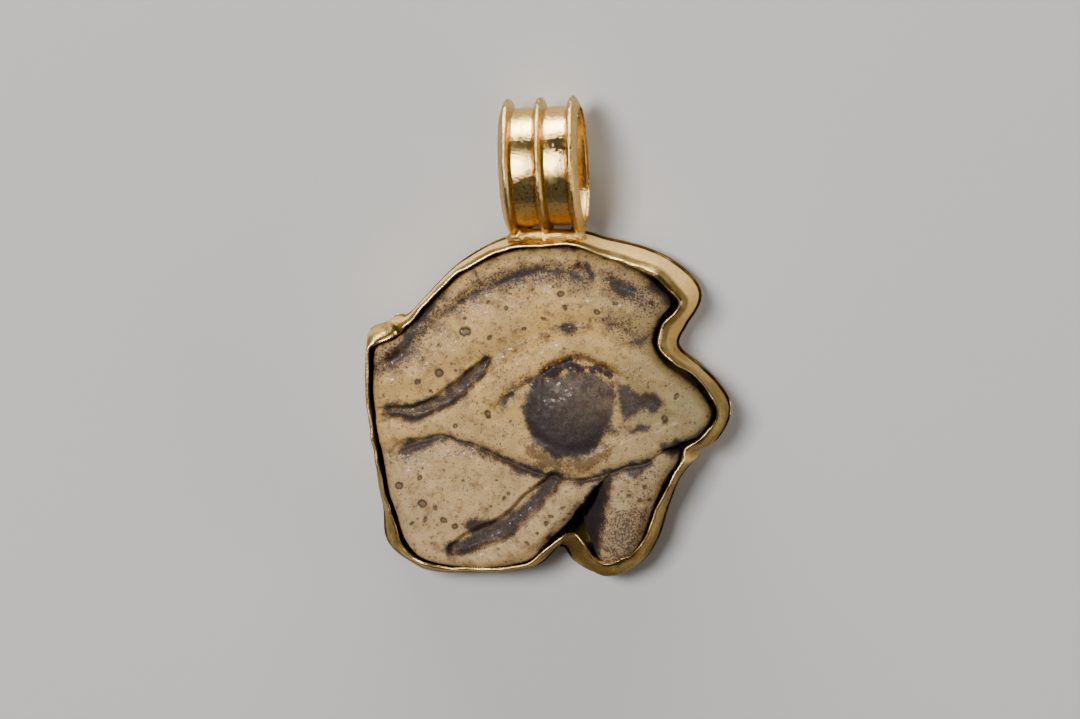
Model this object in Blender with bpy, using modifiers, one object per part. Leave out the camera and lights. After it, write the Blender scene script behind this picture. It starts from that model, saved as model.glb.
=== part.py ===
"""Eye amulet pendant: a carved glazed amulet held in a closed gold setting with a ribbed bail.

Metres, +Z up. The pendant lies on its back, face up and bail towards +Y, as it rests on a table:
on the back of the bail's ring and on the lower edge of the back plate. Every piece is first placed in
the pendant's own frame, where the back plate is flat on z = 0, and one parent leans them all together.
"""

import math

import bmesh
import bpy
import numpy as np
from mathutils import Matrix, Vector

MM = 0.001

# The amulet: a moulded body whose outline and carving are drawn in percent of its width
AMULET_WIDTH = 23.9 * MM
AMULET_THICKNESS = 4.1 * MM  # from its back to the plain level of its face
EDGE_ROUND = 0.9 * MM  # how far in from the outline the face rolls over
EDGE_DROP = 0.8 * MM  # how far the face falls by the time it reaches the side
FACE_DOME = 0.35 * MM  # how much higher the middle of the face stands
RELIEF = 0.6 * MM  # depth of a full groove, and height of a full band
PUPIL_RADIUS = 13.8  # percent of the amulet's width
PUPIL_HEIGHT = 0.95 * MM
CARVING_VOXEL = 0.22 * MM
AMULET_TRIANGLES = 4200

# The setting: one strip of gold wrapped round the amulet, soldered to a back plate
PLATE_THICKNESS = 0.35 * MM
PLATE_OVERHANG = 0.08 * MM
STRIP_THICKNESS = 0.28 * MM
STRIP_WIDTH = 4.75 * MM  # from the back plate to the free edge, measured along the metal
LIP_WIDTH = 0.85 * MM  # the part of the strip that is pressed in over the amulet
BELLY = 0.12 * MM  # how far the strip swells out half way up
AMULET_REST = 0.15 * MM  # clearance under the amulet
SOLDER_GAP = 0.1 * MM  # between pieces that solder joins
SETTING_SAMPLES = 148

# The bail: a short tube of sheet with three raised ribs, soldered on by a foot under each rib
BAIL_BORE_RADIUS = 3.9 * MM
BAIL_SHEET = 0.3 * MM
RIB_HEIGHT = 0.7 * MM
RIB_WIDTH = 0.95 * MM
RIB_PITCH = 2.26 * MM
BAIL_MID_DEPTH = 2.6 * MM  # height of the bail's axis above the back of the plate
BAIL_PLACE = -7.0  # percent of the amulet's width, across from the pupil
BAIL_TURN = math.radians(3.4)
BAIL_SINK = 0.16 * MM  # how far the middle rib is let into the solder
BAIL_STEPS = 36
FOOT_WIDTHS = (1.9 * MM, 1.2 * MM, 1.4 * MM)
FOOT_LENGTH = 2.0 * MM
FOOT_HEIGHT = 1.3 * MM
FOOT_SHIFTS = (0.3 * MM, 0.0, 0.0)  # how far each foot spreads along the strip from its rib

# The amulet's edge, clockwise as seen from the front, from the tip of the left leg to the tip of the
# right leg. Each row: across and up from the pupil in percent of the amulet's width, then in mm the gap
# out to the strip's free edge, how far the lip is pressed in, and how far across and up the strip's foot
# stands from its shoulder.
EDGE = (
    (-6.5, -39.5, 0.20, 0.05, 0.00, -0.25),  # under the left leg
    (-12.0, -44.8, 0.02, 0.10, 0.10, -0.35),
    (-28.0, -47.2, -0.12, 0.15, 0.00, -0.42),  # bottom
    (-43.5, -44.8, 0.02, 0.28, -0.30, -0.42),
    (-48.8, -39.2, 0.16, 0.40, -0.72, -0.30),  # lower left corner
    (-51.2, -31.5, 0.15, 0.28, -0.52, -0.08),
    (-53.6, -24.0, 0.20, 0.12, -0.32, 0.00),
    (-55.6, -12.6, 0.28, 0.00, -0.24, 0.00),
    (-57.6, -1.0, 0.24, 0.00, -0.20, 0.00),  # left side
    (-58.2, 11.0, 0.23, 0.02, -0.22, 0.00),
    (-57.4, 17.8, 0.34, 0.12, -0.15, 0.00),  # upper left corner
    (-52.2, 20.6, 0.14, 0.62, 0.00, -0.30),  # the folded tab
    (-47.5, 24.2, 0.16, 0.22, 0.02, -0.16),
    (-43.4, 28.6, 0.20, 0.00, 0.04, -0.06),
    (-32.5, 39.6, 0.20, 0.00, 0.04, -0.04),
    (-19.4, 46.3, 0.28, 0.00, 0.00, 0.00),
    (-8.5, 48.0, 0.30, 0.00, 0.00, 0.00),  # top, under the bail
    (1.0, 48.0, 0.34, 0.05, 0.00, 0.00),
    (8.4, 46.0, 0.25, 0.16, 0.00, 0.00),
    (18.8, 42.2, 0.28, 0.40, 0.02, 0.05),
    (25.3, 37.6, 0.45, 0.52, 0.08, 0.12),
    (30.0, 32.2, 0.62, 0.46, 0.26, 0.10),  # end of the brow
    (26.4, 27.0, 0.30, 0.52, 0.50, -0.25),
    (24.6, 20.5, 0.46, 0.42, 0.36, 0.00),  # notch behind the brow
    (27.4, 15.0, 0.56, 0.05, 0.02, 0.00),
    (35.0, 9.4, 0.68, 0.00, -0.20, -0.24),
    (39.4, 5.2, 0.52, 0.05, -0.16, -0.12),
    (42.0, -0.6, 0.34, 0.26, 0.00, 0.00),  # corner of the eye
    (38.6, -6.6, 0.15, 0.50, 0.06, -0.12),
    (33.2, -9.4, 0.26, 0.36, 0.12, -0.14),
    (32.2, -14.4, 0.22, 0.14, 0.08, -0.04),  # nick under the corner
    (28.4, -20.2, 0.24, 0.08, 0.05, -0.03),
    (24.6, -29.0, 0.25, 0.10, 0.08, -0.02),
    (21.2, -38.6, 0.06, 0.34, 0.10, -0.06),
    (17.0, -44.2, -0.28, 0.62, 0.12, -0.18),
    (10.6, -46.4, -0.28, 0.62, -0.10, -0.40),  # foot of the right leg
    (7.0, -42.6, 0.10, 0.45, -0.85, -0.50),
    (4.8, -37.8, 0.16, 0.30, -1.25, -0.60),
)
# Between the legs the strip runs straight across, while the amulet's edge turns in round a gap.
STRIP_NOTCH = (
    (1.6, -35.2, 0.24, 0.20, -1.20, -1.00),
    (-2.2, -35.9, 0.24, 0.10, -0.40, -0.70),
)
LEG_GAP = (
    (3.2, -33.6),
    (3.3, -31.2),
    (4.7, -28.7),
    (4.0, -27.9),
    (2.5, -28.9),
    (0.2, -32.2),
    (-3.3, -36.1),
)

# The carving. Each stroke: its height in shares of RELIEF, its half width and its route in percent
BROW = (0.55, 8.5, (-56, 7.4), (-43, 11), (-31.5, 19.6), (-19, 27.6), (-4.4, 32), (9, 32.4), (21, 29.6))
TOP_EDGE = (0.35, 3.6, (-54, 17), (-44, 25.5), (-31, 36.5), (-18, 43), (-4, 45.4), (10, 43.4), (20, 39))
UPPER_LID = (
    (0.75, 4.6, (-57, -7), (-41, -4.6), (-32, -0.6), (-20, 10.4), (-11, 16), (-2, 18.8))
    + ((6, 18.8), (15, 15.8), (24, 10.4), (33, 4), (39, -2))
)
LOWER_LID = (0.75, 3.8, (-40, -5), (-25, -8.6), (-10, -14.5), (-2, -16.2), (6, -15.8), (21, -10.4), (37, -4))
CHEEK = (0.40, 15.0, (-44, -27), (-30, -26), (-22, -27))
LEFT_LEG = (0.35, 4.5, (1, -24), (-6, -31), (-16, -39), (-27, -45))
RIGHT_LEG = (0.45, 5.0, (15, -20.5), (14.5, -30), (12.4, -41))
OVER_BROW = (-0.45, 3.0, (-56.3, 12.4), (-46, 19.7), (-35, 29.3), (-25, 36.7), (-6, 41), (5, 42), (18, 35))
UNDER_BROW = (-1.00, 3.6, (-55, -1), (-43, 0.2), (-35, 3.8), (-28.6, 9.4), (-23.4, 15.2))
UNDER_BROW_END = (-0.50, 2.6, (-23.4, 15.2), (-13, 19.9), (-1.5, 24.6), (11.7, 25.6), (22.6, 20.8))
UNDER_LID = (
    (-0.95, 2.6, (-50.5, -13), (-46, -9.4), (-39, -7.7), (-29, -10.6), (-13, -17.2), (0.7, -20))
    + ((8.7, -19.4), (16, -16.2), (25, -13.8))
)
BESIDE_LEFT_LEG = (-1.05, 3.8, (-5.4, -20), (-8.4, -24.8), (-14, -30.6), (-21, -35), (-35, -42))
RIGHT_LEG_FLANK = (-1.30, 4.6, (9.6, -20.6), (6.4, -28), (5.0, -34), (7.0, -41.6))
NICK = (-1.30, 2.6, (28.6, -10.2), (34, -10.6))
STROKES = (
    (BROW, TOP_EDGE, UPPER_LID, LOWER_LID, CHEEK, LEFT_LEG, RIGHT_LEG)
    + (OVER_BROW, UNDER_BROW, UNDER_BROW_END, UNDER_LID, BESIDE_LEFT_LEG, RIGHT_LEG_FLANK, NICK)
)
# The sunk white of the eye: its height in shares of RELIEF, how wide its slope is, and its outline
EYE_OPENING = (
    (-0.85, 2.2, (-21, 1), (-11, 9.6), (1, 15), (12, 12.6), (27.6, 3), (28.4, -1))
    + ((20, -6.8), (8, -12.6), (-4, -12.6), (-12, -7))
)


def smooth_loop(rows, count, closed=True):
    """Points spread evenly along a smooth curve through the rows. Extra columns are carried along."""
    knots = np.array(rows, float)
    if closed:
        knots = np.vstack([knots[-2:], knots, knots[:2]])
    else:
        knots = np.vstack([2 * knots[0] - knots[1], knots, 2 * knots[-1] - knots[-2]])
    steps = np.sqrt(np.linalg.norm(np.diff(knots[:, :2], axis=0), axis=1))
    times = np.concatenate([[0], np.cumsum(steps)])
    slopes = np.diff(knots, axis=0) / steps[:, None]
    before, after = steps[:-1, None], steps[1:, None]
    tangents = (slopes[:-1] * after + slopes[1:] * before) / (before + after)
    first, last = (2 if closed else 1), len(knots) - 2
    pieces = []
    for i in range(first, last):
        span = times[i + 1] - times[i]
        t = np.linspace(0, 1, 24, endpoint=False)[:, None]
        pieces.append(
            (2 * t**3 - 3 * t**2 + 1) * knots[i]
            + (t**3 - 2 * t**2 + t) * span * tangents[i - 1]
            + (3 * t**2 - 2 * t**3) * knots[i + 1]
            + (t**3 - t**2) * span * tangents[i]
        )
    dense = np.vstack([*pieces, pieces[0][:1] if closed else knots[last : last + 1]])
    run = np.concatenate([[0], np.cumsum(np.linalg.norm(np.diff(dense[:, :2], axis=0), axis=1))])
    at = np.linspace(0, run[-1], count, endpoint=not closed)
    return np.column_stack([np.interp(at, run, column) for column in dense.T])


def to_metres(rows):
    """Rows with their first two columns turned from percent into metres, and the rest from mm."""
    table = np.array(rows, float)
    table[:, :2] *= AMULET_WIDTH / 100
    table[:, 2:] *= MM
    return table


def distance_to(points, line, closed=False):
    """How far each point is from a line of points, in the plane."""
    starts = line if closed else line[:-1]
    ends = np.roll(line, -1, axis=0) if closed else line[1:]
    nearest = np.full(len(points), np.inf)
    for start, end in zip(starts, ends):
        along = end - start
        share = np.clip((points - start) @ along / max(along @ along, 1e-18), 0, 1)
        nearest = np.minimum(nearest, np.linalg.norm(points - start - share[:, None] * along, axis=1))
    return nearest


def inside(points, loop):
    """Which points lie inside a closed loop."""
    found = np.zeros(len(points), bool)
    for (x0, y0), (x1, y1) in zip(loop, np.roll(loop, -1, axis=0)):
        crosses = (y0 > points[:, 1]) != (y1 > points[:, 1])
        rise = y1 - y0 if y1 != y0 else 1e-18
        found ^= crosses & (points[:, 0] < x0 + (points[:, 1] - y0) * (x1 - x0) / rise)
    return found


def ease(share):
    """A smooth step from 0 to 1."""
    share = np.clip(share, 0, 1)
    return share * share * (3 - 2 * share)


def amulet_outline(count):
    edge = np.array(EDGE)[:, :2]
    return smooth_loop(to_metres(np.vstack([edge, LEG_GAP])), count)


def face_height(points, outline):
    """Height of the carved face above the amulet's back at each point."""
    percent = points * 100 / AMULET_WIDTH
    height = np.full(len(points), AMULET_THICKNESS)
    from_middle = np.linalg.norm(percent / 55, axis=1)
    height += FACE_DOME * (1 - ease(from_middle))
    for share, half_width, *route in STROKES:
        line = smooth_loop(route, 8 * len(route), closed=False)
        height += RELIEF * share * ease(1 - distance_to(percent, line) / half_width)
    depth, slope, *corners = EYE_OPENING
    opening = smooth_loop(corners, 60)
    in_from_lid = np.where(inside(percent, opening), distance_to(percent, opening, closed=True), 0)
    height += RELIEF * depth * ease(in_from_lid / slope)
    from_pupil = np.linalg.norm(percent, axis=1) / PUPIL_RADIUS
    height += PUPIL_HEIGHT * np.sqrt(np.clip(1 - from_pupil**2, 0, 1)) * ease((1 - from_pupil) * 4)
    in_from_edge = np.clip(distance_to(points, outline, closed=True) / EDGE_ROUND, 0, 1)
    return height - EDGE_DROP * (1 - np.sqrt(1 - (1 - in_from_edge) ** 2))


def clear_scene():
    for obj in list(bpy.data.objects):
        bpy.data.objects.remove(obj, do_unlink=True)


def new_collection(name):
    collection = bpy.data.collections.new(name)
    bpy.context.scene.collection.children.link(collection)
    return collection


def material(name, colour, roughness, metallic):
    made = bpy.data.materials.new(name)
    made.use_nodes = True
    shader = made.node_tree.nodes["Principled BSDF"]
    shader.inputs["Base Color"].default_value = (*colour, 1)
    shader.inputs["Roughness"].default_value = roughness
    shader.inputs["Metallic"].default_value = metallic
    return made


def place(name, mesh, collection, surface=None):
    obj = bpy.data.objects.new(name, mesh)
    collection.objects.link(obj)
    if surface:
        mesh.materials.clear()
        mesh.materials.append(surface)
    return obj


def as_helper(obj):
    """Marks a cutter, or a shape that a Boolean joins, so that it is no piece of its own."""
    obj.hide_render = True
    obj.display_type = "WIRE"
    return obj


def evaluated_mesh(obj):
    """The object's shape as a plain mesh in its own place, with doubled points merged."""
    graph = bpy.context.evaluated_depsgraph_get()
    mesh = bpy.data.meshes.new_from_object(obj.evaluated_get(graph))
    mesh.transform(obj.matrix_world)
    shape = bmesh.new()
    shape.from_mesh(mesh)
    bmesh.ops.remove_doubles(shape, verts=shape.verts, dist=1e-7)
    bmesh.ops.recalc_face_normals(shape, faces=shape.faces)
    shape.to_mesh(mesh)
    shape.free()
    return mesh


def flat_slab(name, loop, low, thickness, collection):
    """A flat sheet with this outline, from height low upwards."""
    curve = bpy.data.curves.new(name, "CURVE")
    curve.dimensions = "2D"
    curve.fill_mode = "BOTH"
    curve.extrude = thickness / 2
    spline = curve.splines.new("POLY")
    spline.points.add(len(loop) - 1)
    for point, (x, y) in zip(spline.points, loop):
        point.co = (x, y, 0, 1)
    spline.use_cyclic_u = True
    obj = bpy.data.objects.new(name, curve)
    obj.location.z = low + thickness / 2
    collection.objects.link(obj)
    return obj


def make_amulet(parts, helpers, glaze):
    """A slab with the amulet's outline, remeshed evenly, and its upper side carved."""
    low = PLATE_THICKNESS + AMULET_REST
    outline = amulet_outline(220)
    blank = as_helper(flat_slab("amulet_blank", outline, low, AMULET_THICKNESS, helpers))
    bpy.context.view_layer.update()
    solid_blank = as_helper(place("amulet_blank_mesh", evaluated_mesh(blank), helpers))
    bpy.data.objects.remove(blank)
    remesh = solid_blank.modifiers.new("even_mesh", "REMESH")
    remesh.mode = "VOXEL"
    remesh.voxel_size = CARVING_VOXEL
    mesh = evaluated_mesh(solid_blank)
    bpy.data.objects.remove(solid_blank)

    points = np.empty(len(mesh.vertices) * 3)
    mesh.vertices.foreach_get("co", points)
    points = points.reshape(-1, 3)
    rise = np.clip((points[:, 2] - low) / AMULET_THICKNESS, 0, 1)
    points[:, 2] = low + rise * face_height(points[:, :2], outline)
    mesh.vertices.foreach_set("co", points.ravel())
    mesh.update()
    amulet = place("amulet", mesh, parts, glaze)
    decimate = amulet.modifiers.new("fewer_faces", "DECIMATE")
    decimate.ratio = min(1, AMULET_TRIANGLES / (2 * len(mesh.polygons)))
    return amulet


def setting_stations():
    """Evenly spread rows round the setting, and the direction that faces out at each."""
    rows = smooth_loop(to_metres(np.vstack([EDGE, STRIP_NOTCH])), SETTING_SAMPLES)
    along = np.roll(rows[:, :2], -1, axis=0) - np.roll(rows[:, :2], 1, axis=0)
    out = np.column_stack([-along[:, 1], along[:, 0]])
    out /= np.linalg.norm(out, axis=1)[:, None]
    for _ in range(6):
        out = (np.roll(out, 1, axis=0) + out + np.roll(out, -1, axis=0)) / 3
        out /= np.linalg.norm(out, axis=1)[:, None]
    return rows, out


def strip_section(rim, lip, lean):
    """The strip's inner side at one station: for each height of it, how far out from the amulet's edge,
    the share of the lean it has, and how high."""
    foot = PLATE_THICKNESS + SOLDER_GAP
    shoulder = foot + math.sqrt((STRIP_WIDTH - LIP_WIDTH) ** 2 - lean**2)
    edge = shoulder + math.sqrt(LIP_WIDTH**2 - lip**2)
    middle = Vector((rim + lip + BELLY, 0.5, (foot + shoulder) / 2))
    bend = Vector((rim + lip, 0, shoulder))
    free = Vector((rim, 0, edge))
    return [Vector((rim + lip, 1, foot)), middle, bend.lerp(middle, 0.25), bend.lerp(free, 0.45), free]


def strip_rings(extra=0.0):
    """One ring of points for each height of the strip, on its inner side moved out by extra."""
    rows, out = setting_stations()
    rings = [[] for _ in range(5)]
    for (x, y, rim, lip, lean_x, lean_y), (out_x, out_y) in zip(rows, out):
        section = strip_section(rim, lip, math.hypot(lean_x, lean_y))
        for ring, (distance, leaning, height) in zip(rings, section):
            distance += extra
            across = x + out_x * distance + lean_x * leaning
            up = y + out_y * distance + lean_y * leaning
            ring.append(Vector((across, up, height)))
    return rings


def loft(name, rings, caps=False):
    """A surface through closed rings of equally many points."""
    shape = bmesh.new()
    rows = [[shape.verts.new(point) for point in ring] for ring in rings]
    for low, high in zip(rows, rows[1:]):
        for i in range(len(low)):
            j = (i + 1) % len(low)
            shape.faces.new((low[i], low[j], high[j], high[i]))
    if caps:
        shape.faces.new(rows[0])
        shape.faces.new(rows[-1])
    bmesh.ops.recalc_face_normals(shape, faces=shape.faces)
    mesh = bpy.data.meshes.new(name)
    shape.to_mesh(mesh)
    shape.free()
    return mesh


def make_setting_strip(parts, gold):
    strip = place("bezel_strip", loft("bezel_strip", strip_rings()), parts, gold)
    walls = strip.modifiers.new("sheet", "SOLIDIFY")
    walls.thickness = STRIP_THICKNESS
    middle = sum((v.co for v in strip.data.vertices), Vector()) / len(strip.data.vertices)
    face = strip.data.polygons[0]
    walls.offset = 1 if face.normal.dot(face.center - middle) > 0 else -1
    return strip


def make_back_plate(parts, helpers, gold):
    outer = strip_rings(STRIP_THICKNESS + PLATE_OVERHANG)[0]
    curve = as_helper(flat_slab("plate_curve", [p.xy for p in outer], 0, PLATE_THICKNESS, helpers))
    bpy.context.view_layer.update()
    plate = place("back_plate", evaluated_mesh(curve), parts, gold)
    bpy.data.objects.remove(curve)
    return plate


def bail_seat():
    """The point on the outside of the strip, under the bail, at the height of the bail's axis."""
    place_x = BAIL_PLACE / 100 * AMULET_WIDTH
    rings = strip_rings(STRIP_THICKNESS + SOLDER_GAP)
    below, above = rings[0], rings[1]
    ups = []
    for low, high in zip(below, above):
        share = (BAIL_MID_DEPTH - low.z) / (high.z - low.z)
        ups.append(low.lerp(high, share))
    near_top = [(p, q) for p, q in zip(ups, ups[1:] + ups[:1]) if p.x <= place_x < q.x and p.y > 0]
    p, q = near_top[0]
    return p.lerp(q, (place_x - p.x) / (q.x - p.x))


def bail_profile():
    """The tube's cut wall: distances along its axis and out from it. The ends are flush with the ribs."""
    sheet_top = BAIL_BORE_RADIUS + BAIL_SHEET
    points = []
    for rib in (-1, 0, 1):
        for step in range(7):
            angle = math.pi * step / 6
            along = rib * RIB_PITCH - RIB_WIDTH / 2 * math.cos(angle)
            points.append((along, sheet_top + RIB_HEIGHT * math.sin(angle)))
    end = points[-1][0]
    return [(-end, BAIL_BORE_RADIUS), *points, (end, BAIL_BORE_RADIUS)]


def make_bail(parts, helpers, gold):
    """The ribbed tube and its solder feet, trimmed to the outside of the strip."""
    rib_radius_out = BAIL_BORE_RADIUS + BAIL_SHEET + RIB_HEIGHT
    upwards = Vector((-math.sin(BAIL_TURN), math.cos(BAIL_TURN), 0))
    across = Vector((math.cos(BAIL_TURN), math.sin(BAIL_TURN), 0))
    middle = bail_seat() + upwards * (rib_radius_out - BAIL_SINK)
    turn = Matrix.Translation(middle) @ Matrix.Rotation(BAIL_TURN, 4, "Z")

    profile = bmesh.new()
    corners = [profile.verts.new((a, r, 0)) for a, r in bail_profile()]
    for first, second in zip(corners, corners[1:] + corners[:1]):
        profile.edges.new((first, second))
    profile_mesh = bpy.data.meshes.new("bail_profile")
    profile.to_mesh(profile_mesh)
    profile.free()
    turned = as_helper(place("bail_turned", profile_mesh, helpers))
    screw = turned.modifiers.new("turn", "SCREW")
    screw.axis = "X"
    screw.steps = screw.render_steps = BAIL_STEPS
    screw.use_merge_vertices = True
    screw.merge_threshold = 1e-6
    bpy.context.view_layer.update()
    tube = evaluated_mesh(turned)
    bpy.data.objects.remove(turned)
    tube.transform(turn)
    bail = place("bail", tube, parts, gold)

    for name, rib, width, shift in zip(("left", "middle", "right"), (-1, 0, 1), FOOT_WIDTHS, FOOT_SHIFTS):
        bpy.ops.mesh.primitive_uv_sphere_add(segments=16, ring_count=8, radius=0.5)
        foot = bpy.context.object
        foot.name = f"solder_foot_{name}"
        foot.data.transform(Matrix.Diagonal((width, FOOT_HEIGHT, FOOT_LENGTH, 1)))
        foot.location = middle + across * (rib * RIB_PITCH + shift) - upwards * rib_radius_out
        foot.rotation_euler.z = BAIL_TURN
        move_to(foot, helpers)
        as_helper(foot)
        join = bail.modifiers.new(f"join_{name}_foot", "BOOLEAN")
        join.operation = "UNION"
        join.object = foot

    rings = strip_rings(STRIP_THICKNESS + SOLDER_GAP)
    beyond = 3 * STRIP_WIDTH
    floor = [Vector((p.x, p.y, -beyond)) for p in rings[0]]
    ceiling = [Vector((p.x, p.y, beyond)) for p in rings[-1]]
    envelope_mesh = loft("strip_envelope", [floor, *rings, ceiling], caps=True)
    envelope = as_helper(place("strip_envelope", envelope_mesh, helpers))
    trim = bail.modifiers.new("trim_to_strip", "BOOLEAN")
    trim.operation = "DIFFERENCE"
    trim.object = envelope
    return bail, middle, rib_radius_out


def move_to(obj, collection):
    for old in list(obj.users_collection):
        old.objects.unlink(obj)
    collection.objects.link(obj)


def lean_when_lying(plate, bail_middle, bail_radius):
    """The angle at which the ring's back and the plate's lower edge both touch a flat table."""
    lowest = min(v.co.y for v in plate.data.vertices)
    reach = Vector((bail_middle.y - lowest, bail_middle.z))
    return math.asin(bail_radius / reach.length) - math.atan2(reach.y, reach.x)


def lay_down(pieces, helpers, lean):
    """Leans everything under one parent, placed so that the origin is under the middle, at the table."""
    pendant = bpy.data.objects.new("pendant", None)
    bpy.context.scene.collection.objects.link(pendant)
    for obj in (*pieces, *helpers.objects):
        obj.parent = pendant
    pendant.rotation_euler.x = lean
    bpy.context.view_layer.update()
    graph = bpy.context.evaluated_depsgraph_get()
    corners = []
    for obj in pieces:
        shown = obj.evaluated_get(graph)
        mesh = shown.to_mesh()
        corners += [shown.matrix_world @ v.co for v in mesh.vertices]
        shown.to_mesh_clear()
    low = Vector([min(c[i] for c in corners) for i in range(3)])
    high = Vector([max(c[i] for c in corners) for i in range(3)])
    pendant.location = (-(low.x + high.x) / 2, -(low.y + high.y) / 2, -low.z)
    bpy.context.view_layer.update()


def shade(obj, angle_degrees):
    obj.data.shade_smooth()
    obj.data.set_sharp_from_angle(angle=math.radians(angle_degrees))


def build():
    clear_scene()
    parts = new_collection("eye_amulet_pendant")
    helpers = new_collection("cutters")
    glaze = material("cream_glaze", (0.42, 0.36, 0.23), 0.35, 0.0)
    gold = material("gold", (0.80, 0.55, 0.22), 0.25, 1.0)

    amulet = make_amulet(parts, helpers, glaze)
    strip = make_setting_strip(parts, gold)
    plate = make_back_plate(parts, helpers, gold)
    bail, bail_middle, bail_radius = make_bail(parts, helpers, gold)
    for obj, angle in ((amulet, 40), (strip, 35), (plate, 35), (bail, 35)):
        shade(obj, angle)
    lay_down((amulet, strip, plate, bail), helpers, lean_when_lying(plate, bail_middle, bail_radius))


build()
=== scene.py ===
import math

import bmesh
import bpy
import numpy as np
from mathutils import Matrix, Vector, noise
from mathutils.geometry import delaunay_2d_cdt
from mathutils.kdtree import KDTree


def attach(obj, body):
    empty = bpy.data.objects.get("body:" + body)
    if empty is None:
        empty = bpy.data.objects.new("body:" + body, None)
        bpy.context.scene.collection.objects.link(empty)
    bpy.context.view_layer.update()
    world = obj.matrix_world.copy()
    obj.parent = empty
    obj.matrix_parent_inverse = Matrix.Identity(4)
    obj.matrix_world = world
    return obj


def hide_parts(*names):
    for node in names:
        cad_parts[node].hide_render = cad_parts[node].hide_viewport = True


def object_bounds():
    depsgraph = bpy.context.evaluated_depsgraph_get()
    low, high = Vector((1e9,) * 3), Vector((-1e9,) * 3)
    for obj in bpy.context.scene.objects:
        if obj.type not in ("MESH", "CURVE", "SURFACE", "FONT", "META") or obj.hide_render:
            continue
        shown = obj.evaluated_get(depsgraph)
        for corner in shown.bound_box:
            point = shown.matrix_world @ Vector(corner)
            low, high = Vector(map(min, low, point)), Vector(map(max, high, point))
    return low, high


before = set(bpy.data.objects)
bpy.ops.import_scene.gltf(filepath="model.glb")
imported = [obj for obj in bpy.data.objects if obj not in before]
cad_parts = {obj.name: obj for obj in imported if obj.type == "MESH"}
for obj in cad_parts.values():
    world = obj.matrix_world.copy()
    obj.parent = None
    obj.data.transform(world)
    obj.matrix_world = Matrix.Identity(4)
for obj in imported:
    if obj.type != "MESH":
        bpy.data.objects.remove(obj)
cad_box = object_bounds()
MM = 0.001

# How the pendant lies, and how it is seen
# It lies on its back on a pale table, propped by the ring of its bail, so its face leans a little.
# Every piece is drawn on the pendant's own frame, with the back plate flat at zero, and then laid down.
LEAN = 0.0790623
LAID_AT = Vector((1.861, -4.817, 0.961)) * MM
LAY_DOWN = Matrix.Translation(LAID_AT) @ Matrix.Rotation(LEAN, 4, "X")
SEEN_FROM_RIGHT = math.radians(5.6)
SEEN_FROM_ABOVE = math.radians(8.0)
VIEW_DISTANCE = 0.5
PHOTO_WIDTH_PIXELS = 1080
ONE_PIXEL = 0.07 * MM
FILM_WIDTH = 36
VIEW_CENTRE = Vector((-2.03, 3.68, 4.6)) * MM


def new_object(name, data):
    """An object in the scene, with this data."""
    made = bpy.data.objects.new(name, data)
    bpy.context.scene.collection.objects.link(made)
    return made


def softbox(name, place, size, power):
    """A softbox that points at the pendant."""
    data = bpy.data.lights.new(name, "AREA")
    data.shape = "RECTANGLE"
    data.size, data.size_y = size
    data.energy = power
    lamp = new_object(name, data)
    lamp.location = place
    lamp.rotation_euler = (-Vector(place)).to_track_quat("-Z", "Y").to_euler()


towards = Vector((
    math.sin(SEEN_FROM_RIGHT) * math.cos(SEEN_FROM_ABOVE),
    math.sin(SEEN_FROM_ABOVE),
    math.cos(SEEN_FROM_RIGHT) * math.cos(SEEN_FROM_ABOVE),
))
rightwards = Vector((math.cos(SEEN_FROM_RIGHT), 0, -math.sin(SEEN_FROM_RIGHT)))
upwards = towards.cross(rightwards)
camera_data = bpy.data.cameras.new("photo_view")
camera_data.sensor_width = FILM_WIDTH
camera_data.lens = FILM_WIDTH * VIEW_DISTANCE / (PHOTO_WIDTH_PIXELS * ONE_PIXEL)
camera_data.clip_start = 0.01
camera = new_object("photo_view", camera_data)
seat = Matrix.Translation(VIEW_CENTRE + towards * VIEW_DISTANCE)
camera.matrix_world = LAY_DOWN @ seat @ Matrix((rightwards, upwards, towards)).transposed().to_4x4()
bpy.context.scene.camera = camera

# A long softbox low behind the top of the pendant, a wide one over the camera and a weak one at the right
softbox("softbox_top", (-0.05, 0.56, 0.06), (0.62, 0.085), 8.4)
softbox("softbox_front", (-0.165, 0.09, 0.60), (0.15, 0.18), 4.8)
softbox("softbox_right", (0.55, -0.10, 0.16), (0.30, 0.20), 0.9)

world = bpy.data.worlds.new("studio")
world.use_nodes = True
room = world.node_tree.nodes["Background"]
room.inputs["Color"].default_value = (0.86, 0.88, 0.92, 1)
room.inputs["Strength"].default_value = 0.10
bpy.context.scene.world = world

bpy.ops.mesh.primitive_plane_add(size=3)
table = bpy.context.object
table.name = "table"
paper = bpy.data.materials.new("pale_paper")
paper.use_nodes = True
matt = paper.node_tree.nodes["Principled BSDF"]
matt.inputs["Base Color"].default_value = (0.47, 0.46, 0.44, 1)
matt.inputs["Roughness"].default_value = 0.7
table.data.materials.append(paper)

# The amulet
# An eye amulet of glazed composition: a sandy quartz body, pressed in a mould and cut while damp, under
# a cream glaze with dark purple-brown glaze in the eye and the cuts. It is pitted, stained and rubbed,
# and it sits loose in the setting, held by the bent edge of the gold.
AMULET_WIDTH = 23.9 * MM
AMULET_BACK = 0.5 * MM
AMULET_THICKNESS = 4.1 * MM
EDGE_ROUND = 0.9 * MM
EDGE_DROP = 0.8 * MM
FACE_DOME = 0.35 * MM
RELIEF = 0.6 * MM
PUPIL_RADIUS = 14.4
PUPIL_HEIGHT = 0.48 * MM
EYE_CREASE = ((-8.2, 9.5, 0.9), (-7.8, 4, 1.1), (-7.2, -1, 0.7))
EYE_CREASE_DEPTH = 0.15 * MM
GRID = 0.082 * MM
EDGE_POINTS = 640
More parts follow.
